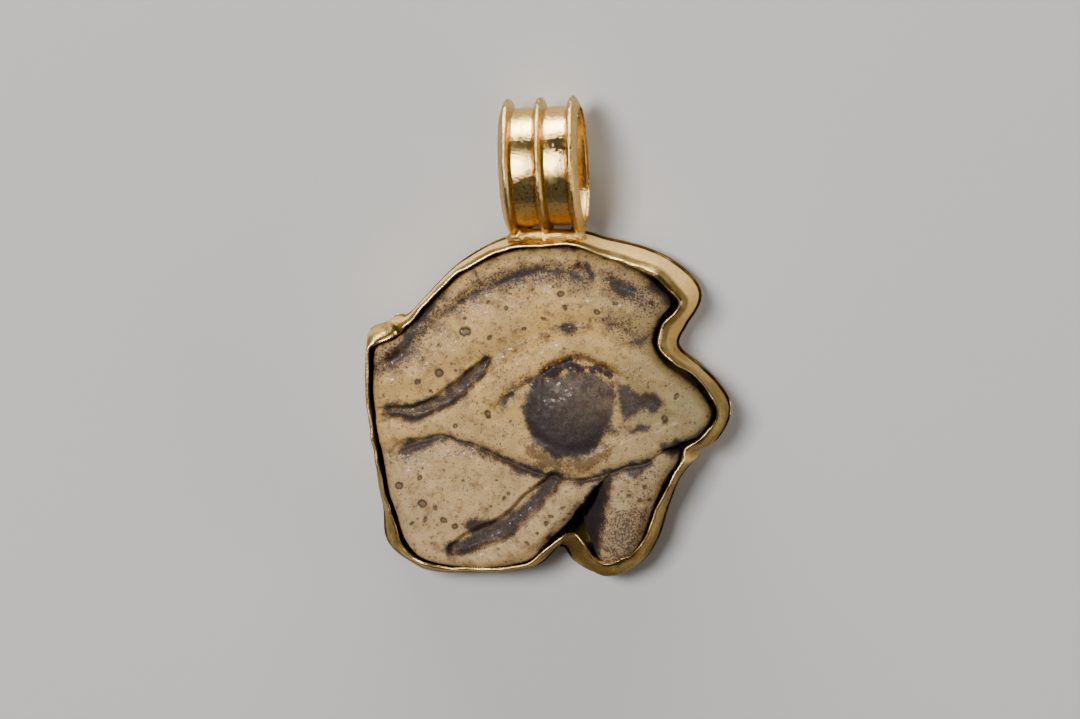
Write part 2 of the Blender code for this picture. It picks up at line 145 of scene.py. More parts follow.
# How often the pressed relief is softened, and the glaze's swellings: their size in percent, height and draw
SOFTENED = 12
SWELLINGS = ((9, 0.05 * MM, 41), (1.9, 0.022 * MM, 51))
# Across and up from the pupil in percent of the amulet's width; then, in mm, the gap out to the free
# edge of the gold, how far its lip is pressed in, and how far across and up the strip's foot stands out.
EDGE = (
    (-6.5, -39.5, 0.20, 0.05, 0.00, -0.25),  # under the left leg
    (-12.0, -44.8, 0.02, 0.10, 0.10, -0.35),
    (-28.0, -47.2, -0.12, 0.15, 0.00, -0.42),  # bottom
    (-43.5, -44.8, 0.02, 0.28, -0.30, -0.42),
    (-48.8, -39.2, 0.16, 0.40, -0.72, -0.30),  # lower left corner
    (-51.2, -31.5, 0.15, 0.28, -0.52, -0.08),
    (-53.6, -24.0, 0.20, 0.12, -0.32, 0.00),
    (-55.6, -12.6, 0.28, 0.00, -0.24, 0.00),
    (-57.6, -1.0, 0.24, 0.00, -0.20, 0.00),  # left side
    (-58.2, 11.0, 0.23, 0.02, -0.22, 0.00),
    (-57.4, 17.8, 0.30, 0.14, -0.15, 0.00),  # upper left corner
    (-56.4, 18.9, 0.16, 0.54, -0.10, -0.12),
    (-52.2, 20.6, 0.12, 0.70, 0.00, -0.30),  # the folded tab
    (-49.3, 22.6, 0.10, 0.72, 0.02, -0.24),
    (-48.2, 23.6, 0.16, 0.24, 0.02, -0.18),
    (-46.6, 25.1, 0.18, 0.06, 0.03, -0.12),
    (-43.4, 28.6, 0.20, 0.00, 0.04, -0.06),
    (-32.5, 39.6, 0.20, 0.00, 0.04, -0.04),
    (-19.4, 46.3, 0.28, 0.00, 0.00, 0.00),
    (-8.5, 48.0, 0.30, 0.00, 0.00, 0.00),  # top, under the bail
    (1.0, 48.0, 0.34, 0.05, 0.00, 0.00),
    (8.4, 46.0, 0.25, 0.16, 0.00, 0.00),
    (18.8, 42.2, 0.28, 0.40, 0.02, 0.05),
    (25.3, 37.6, 0.45, 0.52, 0.08, 0.12),
    (30.0, 32.2, 0.62, 0.46, 0.26, 0.10),  # end of the brow
    (26.4, 27.0, 0.30, 0.52, 0.50, -0.25),
    (24.6, 20.5, 0.46, 0.42, 0.36, 0.00),  # notch behind the brow
    (27.4, 15.0, 0.56, 0.05, 0.02, 0.00),
    (35.0, 9.4, 0.68, 0.00, -0.20, -0.24),
    (39.4, 5.2, 0.52, 0.05, -0.16, -0.12),
    (42.0, -0.6, 0.34, 0.26, 0.00, 0.00),  # corner of the eye
    (38.6, -6.6, 0.15, 0.50, 0.06, -0.12),
    (33.2, -9.4, 0.26, 0.36, 0.12, -0.14),
    (32.2, -14.4, 0.22, 0.14, 0.08, -0.04),  # nick under the corner
    (28.4, -20.2, 0.24, 0.08, 0.05, -0.03),
    (24.6, -29.0, 0.25, 0.10, 0.08, -0.02),
    (21.2, -38.6, 0.06, 0.34, 0.10, -0.06),
    (17.0, -44.2, -0.28, 0.62, 0.12, -0.18),
    (10.6, -46.4, -0.28, 0.62, -0.10, -0.40),  # foot of the right leg
    (7.0, -42.6, 0.10, 0.45, -0.85, -0.50),
    (4.8, -37.8, 0.16, 0.30, -1.25, -0.60),
)
LEG_GAP = ((3.2, -33.6), (3.3, -31.2), (4.7, -28.7), (4.0, -27.9), (2.5, -28.9), (0.2, -32.2), (-3.3, -36.1))

# What is carved. Each stroke: its height in shares of RELIEF, how wide its slope is, and its route as
# across, up and half width in percent of the amulet's width
STROKES = (
    # brow, and the rim above it
    (0.45, 6.5, (-56, 7.0, 5), (-43, 11, 6.5), (-31.5, 19.8, 7.5), (-19, 27.6, 8), (-4, 31.3, 7.5),
     (9, 32, 7), (20, 29.6, 6), (25, 27.5, 5)),
    (0.25, 4.2, (-54, 18, 3), (-44, 27, 3.5), (-31, 37.5, 3.5), (-18, 44, 3.5), (-4, 46, 3.5), (10, 44, 3.5),
     (20, 39, 3)),
    # cheek and the two legs
    (0.45, 6.0, (-44, -25, 13), (-30, -22, 13), (-20, -20, 7)),
    (0.45, 3.0, (0, -24, 5), (-6, -31, 5.6), (-16, -39, 5.6), (-27, -45, 4.4)),
    (0.35, 4.0, (19, -20.5, 5), (18.5, -30, 5.4), (16, -41, 5)),
    # cuts over and under the brow
    (-0.30, 3.4, (-57, 12, 2.8), (-50, 16.5, 2.8), (-44, 21.5, 2.5), (-37, 27.5, 2.5), (-29, 33.5, 2.7),
     (-20, 37.8, 2.8), (-8, 41, 2.4), (3, 41.4, 2.4), (13, 37.8, 2.8), (20, 35, 2.4)),
    (-0.35, 3.0, (-24, 15, 2.2), (-13, 21.3, 2.4), (-2, 25.2, 2.4), (11.7, 25.6, 2.8), (21, 20.8, 3)),
)
# The crisp cuts, made in the same way
CUTS = (
    # over the tail
    (-0.85, 1.7, (-56, -0.6, 1.9), (-48, -0.8, 2.6), (-41, 0.8, 2.9), (-35.5, 4.2, 3.1), (-30.5, 8.2, 3),
     (-26.5, 12.2, 2.8), (-23.8, 15, 1.8)),
    # cut under the lid, band beside the left leg
    (-0.50, 1.5, (-52, -13, 1.5), (-47, -9.8, 2.0), (-42, -8.9, 1.5), (-37, -7.9, 1.1), (-33, -8.6, 0.8),
     (-26, -11.3, 0.9), (-18, -15, 1.3), (-10, -17.9, 1.3), (-2, -19.9, 1.1), (5, -20, 1.1), (12, -18.2, 1.2),
     (18, -15.8, 1.2), (25, -14, 1.0), (28, -12, 0.9)),
    (-1.15, 1.9, (-4.6, -20, 3), (-9, -25, 3.7), (-14.5, -30.7, 4), (-21, -35.5, 4), (-28, -38.2, 3.8),
     (-34, -41, 2.6)),
    # the black slit beside the right leg, and the nick
    (-3.40, 1.0, (8.0, -22.2, 0.5), (6.6, -25.4, 1.2), (4.6, -28.8, 1.5), (3.4, -31.4, 1.3)),
    (-3.00, 1.8, (28.6, -10.8, 0.8), (35, -10.8, 2.2)),
)
# The lids, with the tail of the upper one, stand as one plateau round the eye's white
LIDS = (
    ((-57.5, -6.5, 4.8), (-51, -6.5, 4.6), (-42, -5.4, 4.2), (-34.7, -3.2, 5.0), (-27, 2.5, 5.4),
     (-20, 8.1, 5.4), (-12, 14, 5.0), (-4, 18.4, 4.4), (2, 19.8, 4.2), (8, 18.8, 4.6), (15, 15.8, 5.2),
     (23, 11.6, 6.2), (31, 5.6, 6.6), (38, 0, 6.4)),
    ((-38, -4.4, 3.6), (-30, -4.6, 5.4), (-20, -7.0, 6.2), (-10, -11.4, 5.2), (0, -14.6, 4.4),
     (8, -13.6, 4.6), (15, -11.4, 5.2), (25, -8.2, 5.2), (36, -3, 5.4)),
)
LID_HEIGHT = 0.45 * MM
LID_SLOPE = 2.8
WHITE_HEIGHT = 0.24 * MM
# The right leg's flank rounds down from its top to the slit and the setting
FLANK_TOP = (
    (14.2, -17.6, 0), (13.6, -21, 0), (13.6, -26, 0), (13.4, -31, 0), (12.6, -36, 0), (11.6, -41, 0),
     (9, -48, 0)
)
FLANK = (
    *[row[:2] for row in FLANK_TOP],
    (2, -50), (2, -34), (3.6, -30.6), (6.0, -26.4), (7.8, -22.6), (10.2, -19.4),
)
FLANK_DROP = 2.1 * MM
FLANK_WIDTH = 9.5
EYE_OPENING = (
    (-21, 1), (-11, 9.6), (1, 15), (12, 12.6), (27.6, 3), (28.4, -1), (20, -6.8), (8, -12.6), (-4, -12.6),
     (-12, -7)
)
# Burst bubbles in the glaze: across, up and radius
PITS = (
    (-30.4, 23.5, 1.9), (-38.1, 11.1, 1.4), (-44.5, 8.4, 1.0), (-23.2, 21.8, 0.9), (-31.7, 32.0, 1.2),
    (-7.4, 27.7, 0.9), (-23.7, -0.8, 1.3), (-43.9, -20.0, 0.9), (-50.1, -22.6, 1.3), (-43.1, -27.7, 1.5),
    (-39.4, -29.0, 0.9), (-42.3, -32.4, 1.0), (-46.4, -33.8, 0.9), (-36.8, -32.6, 1.1), (-33.6, -34.5, 1.0),
    (-17.7, -24.4, 0.6), (-19.0, -25.8, 0.8), (-21.1, -20.4, 0.5), (-12.2, -39.0, 0.8), (-9.2, -36.0, 0.6),
    (-33.2, -4.3, 0.8), (-2.3, 35.0, 1.1), (8.4, 29.7, 1.1), (-1.0, 31.1, 1.0), (31.8, 5.4, 1.2),
    (17.8, -24.5, 0.8), (21.1, -25.8, 0.8), (22.5, -21.9, 0.8), (-4.0, -23.0, 0.9), (-1.6, -28.3, 0.8),
    (-5.1, -30.9, 1.0), (-1.4, -32.1, 0.6), (-6.6, -33.0, 0.8), (-5.9, -37.7, 0.8), (23.8, -25.7, 0.7),
    (-54.6, 3.9, 0.6), (-43.0, 15.2, 0.7), (-23.7, 32.2, 0.7), (-13.0, 24.6, 0.8), (-30.6, 27.3, 0.6),
    (-18.4, 30.6, 0.7), (-10.6, 36.2, 0.6), (13.8, 32.4, 0.9), (-40.6, 5.6, 0.7), (28.2, -1.4, 1.1),
)
# The slit between the legs, painted black as shade
SLIT = ((8.6, -21), (8.4, -25), (6.6, -30), (5.4, -35), (2.0, -36), (2.0, -31), (4.4, -26), (6.8, -22))
# Where stains, dark glaze and painted shade lie. Each patch: which mask, how strong at its border and in
# its middle, how far it blurs, and its outline
PATCHES = (
    # the eye itself; its deepest colour, partly painted shade on its lower side; where it is rubbed; and the
    # white to its right
    ("dark", 1.0, 0.95, 0.8, (-9.9, 11), (-11, 8.8), (-12.1, 5.1), (-12.8, 2.2), (-13.2, -1.5), (-12.1, -5.2),
     (-10.2, -8.1), (-8, -11), (-5.9, -12.9), (-2.2, -13.6), (1.5, -13.3), (5.1, -12.9), (7.7, -11.4),
     (9.1, -8.8), (10.6, -5.9), (12.4, -2.2), (13.9, 1.5), (14.3, 5.1), (13.2, 8.1), (11, 10.3), (8, 11.8),
     (3.7, 12.5), (-2.2, 11.6), (-5.9, 10.7)),
    # the deepest colour: the glaze's own blue-black, and painted shade on the lower side of the iris
    ("deep", 1.0, 1.0, 2.2, (-12.6, 0.7), (-11.4, 5), (-9.4, 8.6), (-7.6, 6), (-7.4, 0), (-5.5, -3.6),
     (-2.2, -5.9), (2, -6.2), (6, -5.0), (9.6, -4.4), (9.2, -9), (5.9, -12.5), (1.5, -13.3), (-3.7, -12.9),
     (-8, -10.7), (-11, -7.4), (-12.8, -3)),
    ("worn", 1.0, 1.0, 2.4, (-3.7, 6.6), (-2.2, 8.8), (0, 9.6), (2.9, 11), (5.9, 12.1), (10.2, 10.7),
     (13.2, 8.1), (13.9, 5.1), (13.2, 1.2), (10.2, -0.4), (8, 1.6), (5.9, 3.2), (4.4, 4.4), (1.5, 5.4),
     (-0.7, 5.1)),
    ("dark", 1.0, 0.82, 0.6, (14.6, 8.8), (16.8, 8.8), (19, 7.7), (20.9, 6.2), (23.4, 5.9), (26.7, 5.1),
     (27.1, 2.9), (26, 0.7), (24.1, 0.4), (21.2, 1.5), (19.8, 0), (18.3, -2.2), (16.1, -3), (15.4, -0.7),
     (15, 2.2), (14.6, 5.1)),
    ("dark", 0.8, 0.8, 0.8, (10.2, -3.7), (13.2, -3.3), (15.4, -4.4), (15.4, -6.6), (13.2, -7), (11, -6.6)),
    ("dark", 1.0, 0.9, 0.5, (17.2, -6.6), (18.3, -4.8), (20.5, -3.7), (23.4, -3.3), (24.5, -3.7),
     (22.7, -4.8), (19.8, -5.9)),
    # under the brow, under the tail, under the lid
    ("dark", 1.0, 0.60, 0.8, (-54.3, 0.9), (-52, 2), (-47.9, 1.8), (-43.4, 2.8), (-40.4, 3.9), (-36.6, 4.6),
     (-35.5, 7.7), (-32.1, 8.8), (-29.9, 11.8), (-26.9, 13.7), (-25, 16), (-23.5, 16.5), (-22.6, 14.4),
     (-23.9, 11.8), (-25.4, 9.5), (-27.6, 7.7), (-30.6, 4.3), (-34.4, 1.2), (-38.1, -0.6), (-41.9, -2.2),
     (-44.9, -3.5), (-49.4, -2.9), (-52, -2.2), (-54.6, -2.2), (-55, -0.3)),
    ("dark", 0.95, 0.62, 0.7, (-50.9, -13.2), (-49.7, -10.9), (-47.1, -8.3), (-43.4, -8.7), (-40.4, -7.5),
     (-37.4, -7), (-34.4, -7.4), (-35.9, -8.7), (-38.1, -9.4), (-40.4, -10.2), (-41.5, -11.7), (-43.4, -12.4),
     (-46, -13.6), (-48.6, -14.3)),
    ("dark", 0.95, 0.75, 0.7, (-17.5, -15.5), (-14.5, -15.1), (-11.1, -15.5), (-8.1, -17), (-1.7, -19.2),
     (3.9, -19.8), (3.9, -21.1), (0.5, -20.7), (-2.9, -21.1), (-8.1, -19.8), (-11.9, -19.6), (-14.5, -18.9),
     (-16.7, -17)),
    # the band beside the left leg
    ("dark", 1.0, 0.88, 0.9, (-5.6, -17), (-8.1, -20), (-10.4, -24.5), (-15.6, -29), (-20.5, -32.1),
     (-26.9, -32.4), (-29.9, -33.4), (-29.9, -35.8), (-29.1, -37.7), (-32.1, -38.9), (-35.5, -39.2),
     (-36.6, -42.6), (-32.1, -43.4), (-28.4, -42.6), (-23.1, -39.2), (-17.5, -37.7), (-14.5, -34),
     (-10.4, -29.8), (-7.4, -26.4), (-5.2, -24.4), (-3.6, -21.6), (-1.7, -19.2)),
    # the right lid's underside, the flank of the right leg, the slit painted black as shade, the nick, and
    # the end of the brow, its dark glaze partly painted shade
    ("dark", 1.0, 0.80, 0.7, (3.9, -19.6), (7.3, -19.2), (11.8, -17.3), (15.5, -16), (18.5, -15.1),
     (21.1, -13.8), (25.3, -13.6), (24.9, -15.5), (22.6, -16.6), (19.6, -18.9), (17, -17.7), (14.8, -17.5),
     (12.8, -19.4), (11, -20.7), (8.4, -21.1), (4.4, -20.9)),
    ("deep", 0.9, 0.9, 1.5, (6, -24), (12, -22), (12.6, -32), (10, -46), (5, -44), (2.6, -33)),
    ("dark", 1.0, 1.0, 1.3, (8, -20.6), (10.3, -19.2), (13.1, -19.2), (12.5, -23), (11.8, -26.8), (11, -30.6),
     (10.3, -34.3), (9.5, -38.1), (9.1, -42.6), (8.9, -47.3), (7, -45), (5.6, -39.6), (3.3, -37.7),
     (2.1, -34.3), (2.1, -31.3), (3.6, -28), (5.5, -25)),
    # painted shade: the slit is coloured black
    ("deep", 1.0, 1.0, 0.6, *SLIT),
    ("dark", 1.0, 1.0, 0.5, *SLIT),
    ("dark", 1.0, 0.9, 0.7, (28.0, -8.4), (34.6, -8.6), (34.2, -12.2), (29.4, -12.8), (27.6, -11)),
    # the end of the brow: dark glaze, with painted shade beside the gold
    ("dark", 1.0, 0.95, 1.0, (21.5, 42.7), (23.8, 41.2), (27.5, 37.8), (30.9, 35.2), (33.1, 31.8), (29.4, 31),
     (27.5, 34.1), (25.3, 34.8), (23.4, 36.7), (22.6, 39.4)),
    # thin stain: over the brow, at its right, between lid and brow, on the low end of the right leg; and
    # painted shade over the right leg's top
    ("thin", 1.25, 1.3, 1.8, (-57.5, 11.4), (-53.1, 12.2), (-48, 14.2), (-44, 18), (-40.4, 24.5), (-33, 29.6),
     (-27.2, 33), (-21.2, 35.6), (-12, 37.6), (-2, 37.6), (6, 37), (6, 42.4), (-2, 43.4), (-8.5, 43.8),
     (-17, 42), (-25, 40), (-31.7, 34.5), (-40.4, 30.5), (-47, 24), (-53, 18.4), (-57.5, 16.5)),
    ("thin", 1.3, 1.35, 1.6, (9.6, 41.2), (13, 41.6), (18, 40), (22, 37), (25.2, 33), (24.4, 29),
     (20.6, 30.6), (17, 33.4), (13, 34.5), (10.6, 37)),
    ("thin", 1.0, 1.0, 1.6, (9, 28), (11, 24.6), (15, 22.4), (19, 18.9), (22.4, 19.6), (22.8, 22.6),
     (19.6, 25.6), (17.6, 28), (13, 29.2)),
    ("thin", 0.55, 1.35, 3.6, (11, -26.8), (15.5, -27.8), (20, -26.7), (24.2, -27.6), (23.2, -34.3),
     (20.8, -40.9), (16.8, -46.5), (8.5, -46.1), (9.1, -38.1), (10.3, -33.6)),
    # painted shade over the top of the right leg
    ("thin", 0.4, 0.5, 1.6, (13.4, -18.4), (20, -17), (26.4, -15.4), (28, -20), (25, -27), (14, -27)),
    ("thin", 0.5, 0.5, 1.4, (-55.4, -11.2), (-53.5, -12.6), (-52.2, -15.8), (-54, -17.6), (-56, -14)),
    # amber: the upper left corner, over the eye and under it
    ("amber", 1.0, 1.0, 0.9, (-54.8, 14.2), (-53.8, 16.2), (-52, 18.2), (-50.2, 18.8), (-49.8, 16.6),
     (-51.2, 14.2), (-53.2, 13)),
    ("amber", 1.0, 1.0, 0.5, (-8, 12.1), (-5.9, 13.6), (-2.9, 14.7), (-1.1, 16.2), (0, 16.9), (1.8, 16.5),
     (2.6, 14.7), (4.4, 14.3), (5.1, 12.5), (3.7, 11.8), (0, 12.5), (-2.2, 11.4), (-3.7, 10.3), (-5.9, 9.9),
     (-7.3, 11)),
    ("amber", 1.0, 1.0, 0.5, (5.1, 14), (7.3, 14.3), (9.5, 14), (12.4, 12.5), (13.5, 11), (12.8, 9.2),
     (11, 10.7), (8.8, 11.8), (6.2, 12.1)),
)
# Narrow ones. Each line: which mask, how strong, how far it blurs, and across, up and half width
LINES = (
    # beside the amber corner and along the upper left edge
    ("dark", 0.95, 0.9, (-52.8, 13.4, 1.2), (-50.2, 15.6, 1.6), (-48.4, 19.6, 1.5), (-46.6, 22.4, 1.4),
     (-44.4, 26, 1.1), (-41.2, 30, 0.8), (-36, 35.4, 0.6)),
    ("dark", 0.75, 0.9, (-57.2, 11.6, 0.8), (-55.6, 13.6, 0.9), (-54.4, 11.8, 0.6)),
    # over the brow
    ("dark", 0.8, 0.8, (-33.4, 30.8, 0.9), (-31.7, 32, 1.2), (-30.2, 33, 0.8)),
    ("dark", 0.85, 0.7, (-27.4, 40.6, 0.5), (-26.6, 38.8, 0.7), (-25, 36.2, 0.8)),
    ("dark", 0.66, 1.8, (-48, 17, 1), (-42, 23.5, 1.4), (-36, 29, 1.4), (-30, 33.5, 1.2), (-24, 36.8, 1)),
    ("dark", 0.75, 0.8, (-29.6, 34.4, 0.8), (-26, 35.4, 1.2), (-23, 36.2, 0.7)),
    ("dark", 0.85, 0.8, (-21.2, 37.3, 0.8), (-16.7, 39.2, 1.2), (-12.6, 40.9, 1.3), (-8.9, 42, 1.3),
     (-5.5, 41.4, 1), (-1, 41.4, 0.8), (3.2, 39.9, 0.8)),
    ("dark", 0.95, 0.7, (5.2, 44.4, 0.8), (5.8, 42, 1.1), (6.6, 40, 0.9)),
    ("dark", 0.95, 0.9, (10.6, 39.4, 0.6), (12.5, 38, 1.3), (15.5, 36.4, 1.8), (18.4, 36, 1.4),
     (19.6, 36.2, 0.8)),
    # along the top edge, under the gold's lip: grime, with painted shadow
    ("dark", 0.8, 0.9, (-25, 45, 0.4), (-14, 48.4, 1), (-2, 49.2, 1.4), (6, 48, 1.3), (13, 45.4, 1),
     (20, 42.4, 1)),
    # between brow and lid
    ("dark", 0.85, 0.8, (-3.4, 24.6, 0.7), (0.5, 25, 1.1), (4.3, 25.2, 0.5)),
    ("dark", 0.8, 0.8, (16.2, 26.2, 0.7), (18, 26.8, 0.8)),
    ("dark", 0.8, 0.9, (17, 24, 0.7), (19.3, 22.6, 1), (20.6, 20.8, 1.4), (22, 21.8, 0.8)),
    ("dark", 0.45, 0.9, (11, 25.4, 1), (14, 26.2, 1.2)),
    # left corner of the eye
    ("dark", 0.72, 1.0, (-10.2, 9.9, 1.2), (-13.9, 7.9, 1.1), (-16.8, 5.1, 1.1), (-19, 2.4, 0.8),
     (-20.7, 1, 0.4)),
    ("dark", 1.0, 0.5, (-16.4, 5.4, 0.7), (-17.2, 4.6, 0.7)),
    # the cut under the lid, and spots along it
    ("dark", 0.95, 1.0, (-35.4, -7.5, 0.6), (-31.4, -9.4, 0.8), (-28.4, -10.3, 0.9), (-23.9, -12.1, 1.1),
     (-20.1, -13.9, 1.2), (-17.1, -15.2, 1.3)),
    ("dark", 0.8, 0.6, (-29.6, -10.8, 0.7), (-28, -12, 0.9)),
    ("dark", 0.75, 0.6, (-26.4, -12.4, 0.7), (-25.2, -13.6, 0.9), (-24, -13, 0.6)),
    ("dark", 0.7, 0.6, (-21.8, -13.4, 0.8), (-19.6, -14.8, 0.9)),
    ("dark", 0.95, 1.0, (3.2, -20.3, 0.8), (12, -17.8, 1.1), (18, -15.6, 1.1), (25.4, -13.9, 0.8)),
    # the left leg's edge beside the gap, darkened as painted shade
    ("dark", 0.62, 1.8, (3.0, -26.5, 0.5), (-1.5, -32.2, 0.9), (-6.4, -37.8, 0.9), (-9, -41.5, 0.4)),
    # a ring and a few spots
    ("dark", 0.7, 0.5, (26.2, 0.6, 0.4), (27.8, 0.2, 0.4), (28.8, -1.2, 0.4), (28.4, -2.4, 0.4)),
    ("amber", 0.9, 0.9, (0, 42.4, 0.6), (2.8, 43.4, 0.8)),
    ("amber", 0.8, 0.8, (-27, 38.4, 0.5), (-24.8, 36.8, 0.6)),
    ("amber", 0.8, 0.6, (10.6, 40, 0.6), (12.7, 39.4, 0.6)),
    ("amber", 0.9, 0.5, (21.6, 35, 0.5), (22, 34.6, 0.5)),
    ("amber", 0.9, 0.5, (23.8, 33, 0.8), (24.2, 32.6, 0.8)),
    # brown run round the foot of the eye, partly brown glaze and partly painted shade on the lower lid's
    # underside
    ("brown", 1.0, 2.0, (-12.4, -8.6, 0.4), (-9.5, -12, 1.2), (-5, -14.6, 1.5), (0.5, -15.4, 1.5),
     (5.9, -14.6, 1.6), (9.4, -12.4, 1.3), (11.4, -9, 0.6)),
    ("brown", 0.8, 1.5, (-9, 12.4, 0.6), (-3, 15.2, 1.2), (3, 16.6, 1.4), (9, 14.8, 1.1), (13.6, 11.6, 0.8),
     (14.6, 7, 0.4)),
    ("brown", 0.7, 2.0, (-22, 1.2, 0.6), (-17, 6.4, 1.4), (-11.4, 11, 1.4)),
    ("brown", 0.6, 1.6, (-20, 12.6, 0.4), (-14, 19.5, 0.8), (-6, 24, 1), (1, 26, 1.2), (6, 26, 0.8)),
)


def smooth_line(rows, count, closed=True):
    """Points spread evenly along a smooth curve through the rows. Extra columns are carried along."""
    knots = np.array(rows, float)
    if closed:
        knots = np.vstack([knots[-2:], knots, knots[:2]])
    else:
        knots = np.vstack([2 * knots[0] - knots[1], knots, 2 * knots[-1] - knots[-2]])
    steps = np.sqrt(np.linalg.norm(np.diff(knots[:, :2], axis=0), axis=1))
    stations = np.concatenate([[0], np.cumsum(steps)])
    slopes = np.diff(knots, axis=0) / steps[:, None]
    before, after = steps[:-1, None], steps[1:, None]
    tangents = (slopes[:-1] * after + slopes[1:] * before) / (before + after)
    first, last = (2 if closed else 1), len(knots) - 2
    pieces = []
    for i in range(first, last):
        span = stations[i + 1] - stations[i]
        t = np.linspace(0, 1, 24, endpoint=False)[:, None]
        pieces.append(
            (2 * t**3 - 3 * t**2 + 1) * knots[i]
            + (t**3 - 2 * t**2 + t) * span * tangents[i - 1]
            + (3 * t**2 - 2 * t**3) * knots[i + 1]
            + (t**3 - t**2) * span * tangents[i]
        )
    dense = np.vstack([*pieces, pieces[0][:1] if closed else knots[last : last + 1]])
    run = np.concatenate([[0], np.cumsum(np.linalg.norm(np.diff(dense[:, :2], axis=0), axis=1))])
    at = np.linspace(0, run[-1], count, endpoint=not closed)
    return np.column_stack([np.interp(at, run, column) for column in dense.T])


def clearance(points, rows, closed=False, reach=5.0):
    """How far points lie outside a line with rows of across, up and half width. Far ones get a high value."""
    found = np.full(len(points), 99.0)
    spread = rows[:, 2].max() + reach
    low, high = rows[:, :2].min(0) - spread, rows[:, :2].max(0) + spread
    near = np.flatnonzero(((points > low) & (points < high)).all(1))
    spots = points[near]
    best = found[near]
    following = np.roll(rows, -1, axis=0)
    count = len(rows) if closed else len(rows) - 1
    for start, end in zip(rows[:count], following[:count]):
        along = end[:2] - start[:2]
        share = np.clip((spots - start[:2]) @ along / max(along @ along, 1e-12), 0, 1)
        gap = np.sqrt(((spots - start[:2] - share[:, None] * along) ** 2).sum(1))
        best = np.minimum(best, gap - start[2] - share * (end[2] - start[2]))
    found[near] = best
    return found


def inside(points, loop):
    """Which points are inside a closed line."""
    found = np.zeros(len(points), bool)
    for (x0, y0), (x1, y1) in zip(loop, np.roll(loop, -1, axis=0)):
        crosses = (y0 > points[:, 1]) != (y1 > points[:, 1])
        rise = y1 - y0 if y1 != y0 else 1e-18
        found ^= crosses & (points[:, 0] < x0 + (points[:, 1] - y0) * (x1 - x0) / rise)
    return found


def ease(share):
    """A smooth step from 0 to 1, level at both ends."""
    share = np.clip(share, 0, 1)
    return share * share * (3 - 2 * share)


def outward(loop):
    """The unit direction out of a closed line, at each of its points."""
    along = np.roll(loop, -1, axis=0) - np.roll(loop, 1, axis=0)
    out = np.column_stack([-along[:, 1], along[:, 0]])
    return out / np.linalg.norm(out, axis=1)[:, None]


def mottle(points, size, seed, octaves=3):
    """Smooth random values about zero, within about one, with blotches of this size."""
    total = np.zeros(len(points))
    strength = 1.0
    for octave in range(octaves):
        cells = np.random.default_rng(seed + octave).uniform(-1, 1, (257, 257))
        at = points / size * 2**octave + 64.5
        low = np.floor(at).astype(int)
        x, y = ease(at - low).T
        i, j = low.T % 256
        total += strength * (
            (cells[i, j] * (1 - x) + cells[i + 1, j] * x) * (1 - y)
            + (cells[i, j + 1] * (1 - x) + cells[i + 1, j + 1] * x) * y
        )
        strength /= 2
    return total


amulet_edge = smooth_line(np.vstack([np.array(EDGE)[:, :2], LEG_GAP]), EDGE_POINTS)
amulet_edge += 0.10 * np.column_stack([mottle(amulet_edge, 2.2, 11), mottle(amulet_edge, 2.2, 17)])

# The face's points: its edge, and an even net inside it
low, high = amulet_edge.min(0), amulet_edge.max(0)
step = GRID / AMULET_WIDTH * 100
net = np.array([
    (x + (step / 2 if row % 2 else 0), y)
    for row, y in enumerate(np.arange(low[1], high[1], step * 0.866))
    for x in np.arange(low[0], high[0], step)
])
net = net[inside(net, amulet_edge)]
edge_tree = KDTree(len(amulet_edge))
for number, (x, y) in enumerate(amulet_edge):
    edge_tree.insert((x, y, 0), number)
edge_tree.balance()
net = net[[edge_tree.find((x, y, 0))[2] > step * 0.8 for x, y in net]]
face_points = np.vstack([amulet_edge, net])
edge_pairs = [(i, (i + 1) % len(amulet_edge)) for i in range(len(amulet_edge))]
flat_points = [Vector(p) for p in face_points]
flat, _, face_triangles, sources, *_ = delaunay_2d_cdt(flat_points, edge_pairs, [], 1, 1e-6)
face_points = np.array([tuple(p) for p in flat])
found_at = {source: number for number, given in enumerate(sources) for source in given}
edge_at = [found_at[i] for i in range(len(amulet_edge))]

# Height of the carved face
height = np.full(len(face_points), AMULET_THICKNESS)
height += FACE_DOME * (1 - ease(np.linalg.norm(face_points / 55, axis=1)))
wander = face_points + 0.45 * np.column_stack([mottle(face_points, 6, 21), mottle(face_points, 6, 31)])


def off_line(points, route):
    """How far points lie outside the smooth open line through a route."""
    return clearance(points, smooth_line(route, 8 * len(route), closed=False))


def carve(strokes):
    """The height that these strokes add to the face, or take away from it."""
    total = np.zeros(len(face_points))
    for share, slope, *route in strokes:
        total += RELIEF * share * ease(-off_line(wander, route) / slope)
    return total


height += carve(STROKES)


def depth_in(points, outline):
    """How far points lie inside an outline, negative outside it."""
    rows = np.column_stack([smooth_line(outline, 8 * len(outline)), np.zeros(8 * len(outline))])
    far = clearance(points, rows, closed=True)
    return np.where(inside(points, rows[:, :2]), far, -far)


plateau = WHITE_HEIGHT * ease((depth_in(wander, EYE_OPENING) + 2) / 4)
for route in LIDS:
    plateau = np.maximum(plateau, LID_HEIGHT * ease(-off_line(wander, route) / LID_SLOPE))
height += plateau
corners = np.vstack([np.array(face_triangles)[:, [a, b]] for a, b in ((0, 1), (1, 2), (2, 0))])
corners = np.vstack([corners, corners[:, ::-1]])
neighbours = np.bincount(corners[:, 0], minlength=len(height))
for _ in range(SOFTENED):
    around = np.bincount(corners[:, 0], height[corners[:, 1]], len(height)) / neighbours
    height = 0.4 * height + 0.6 * around
height += carve(CUTS)
from_flank_top = clearance(wander, smooth_line(FLANK_TOP, 60, closed=False), reach=14)
flank = np.where(inside(wander, np.array(FLANK)), from_flank_top, 0)
height -= FLANK_DROP * ease(flank / FLANK_WIDTH)
from_pupil = np.linalg.norm(wander, axis=1) / PUPIL_RADIUS + 0.05 * mottle(face_points, 9, 91)
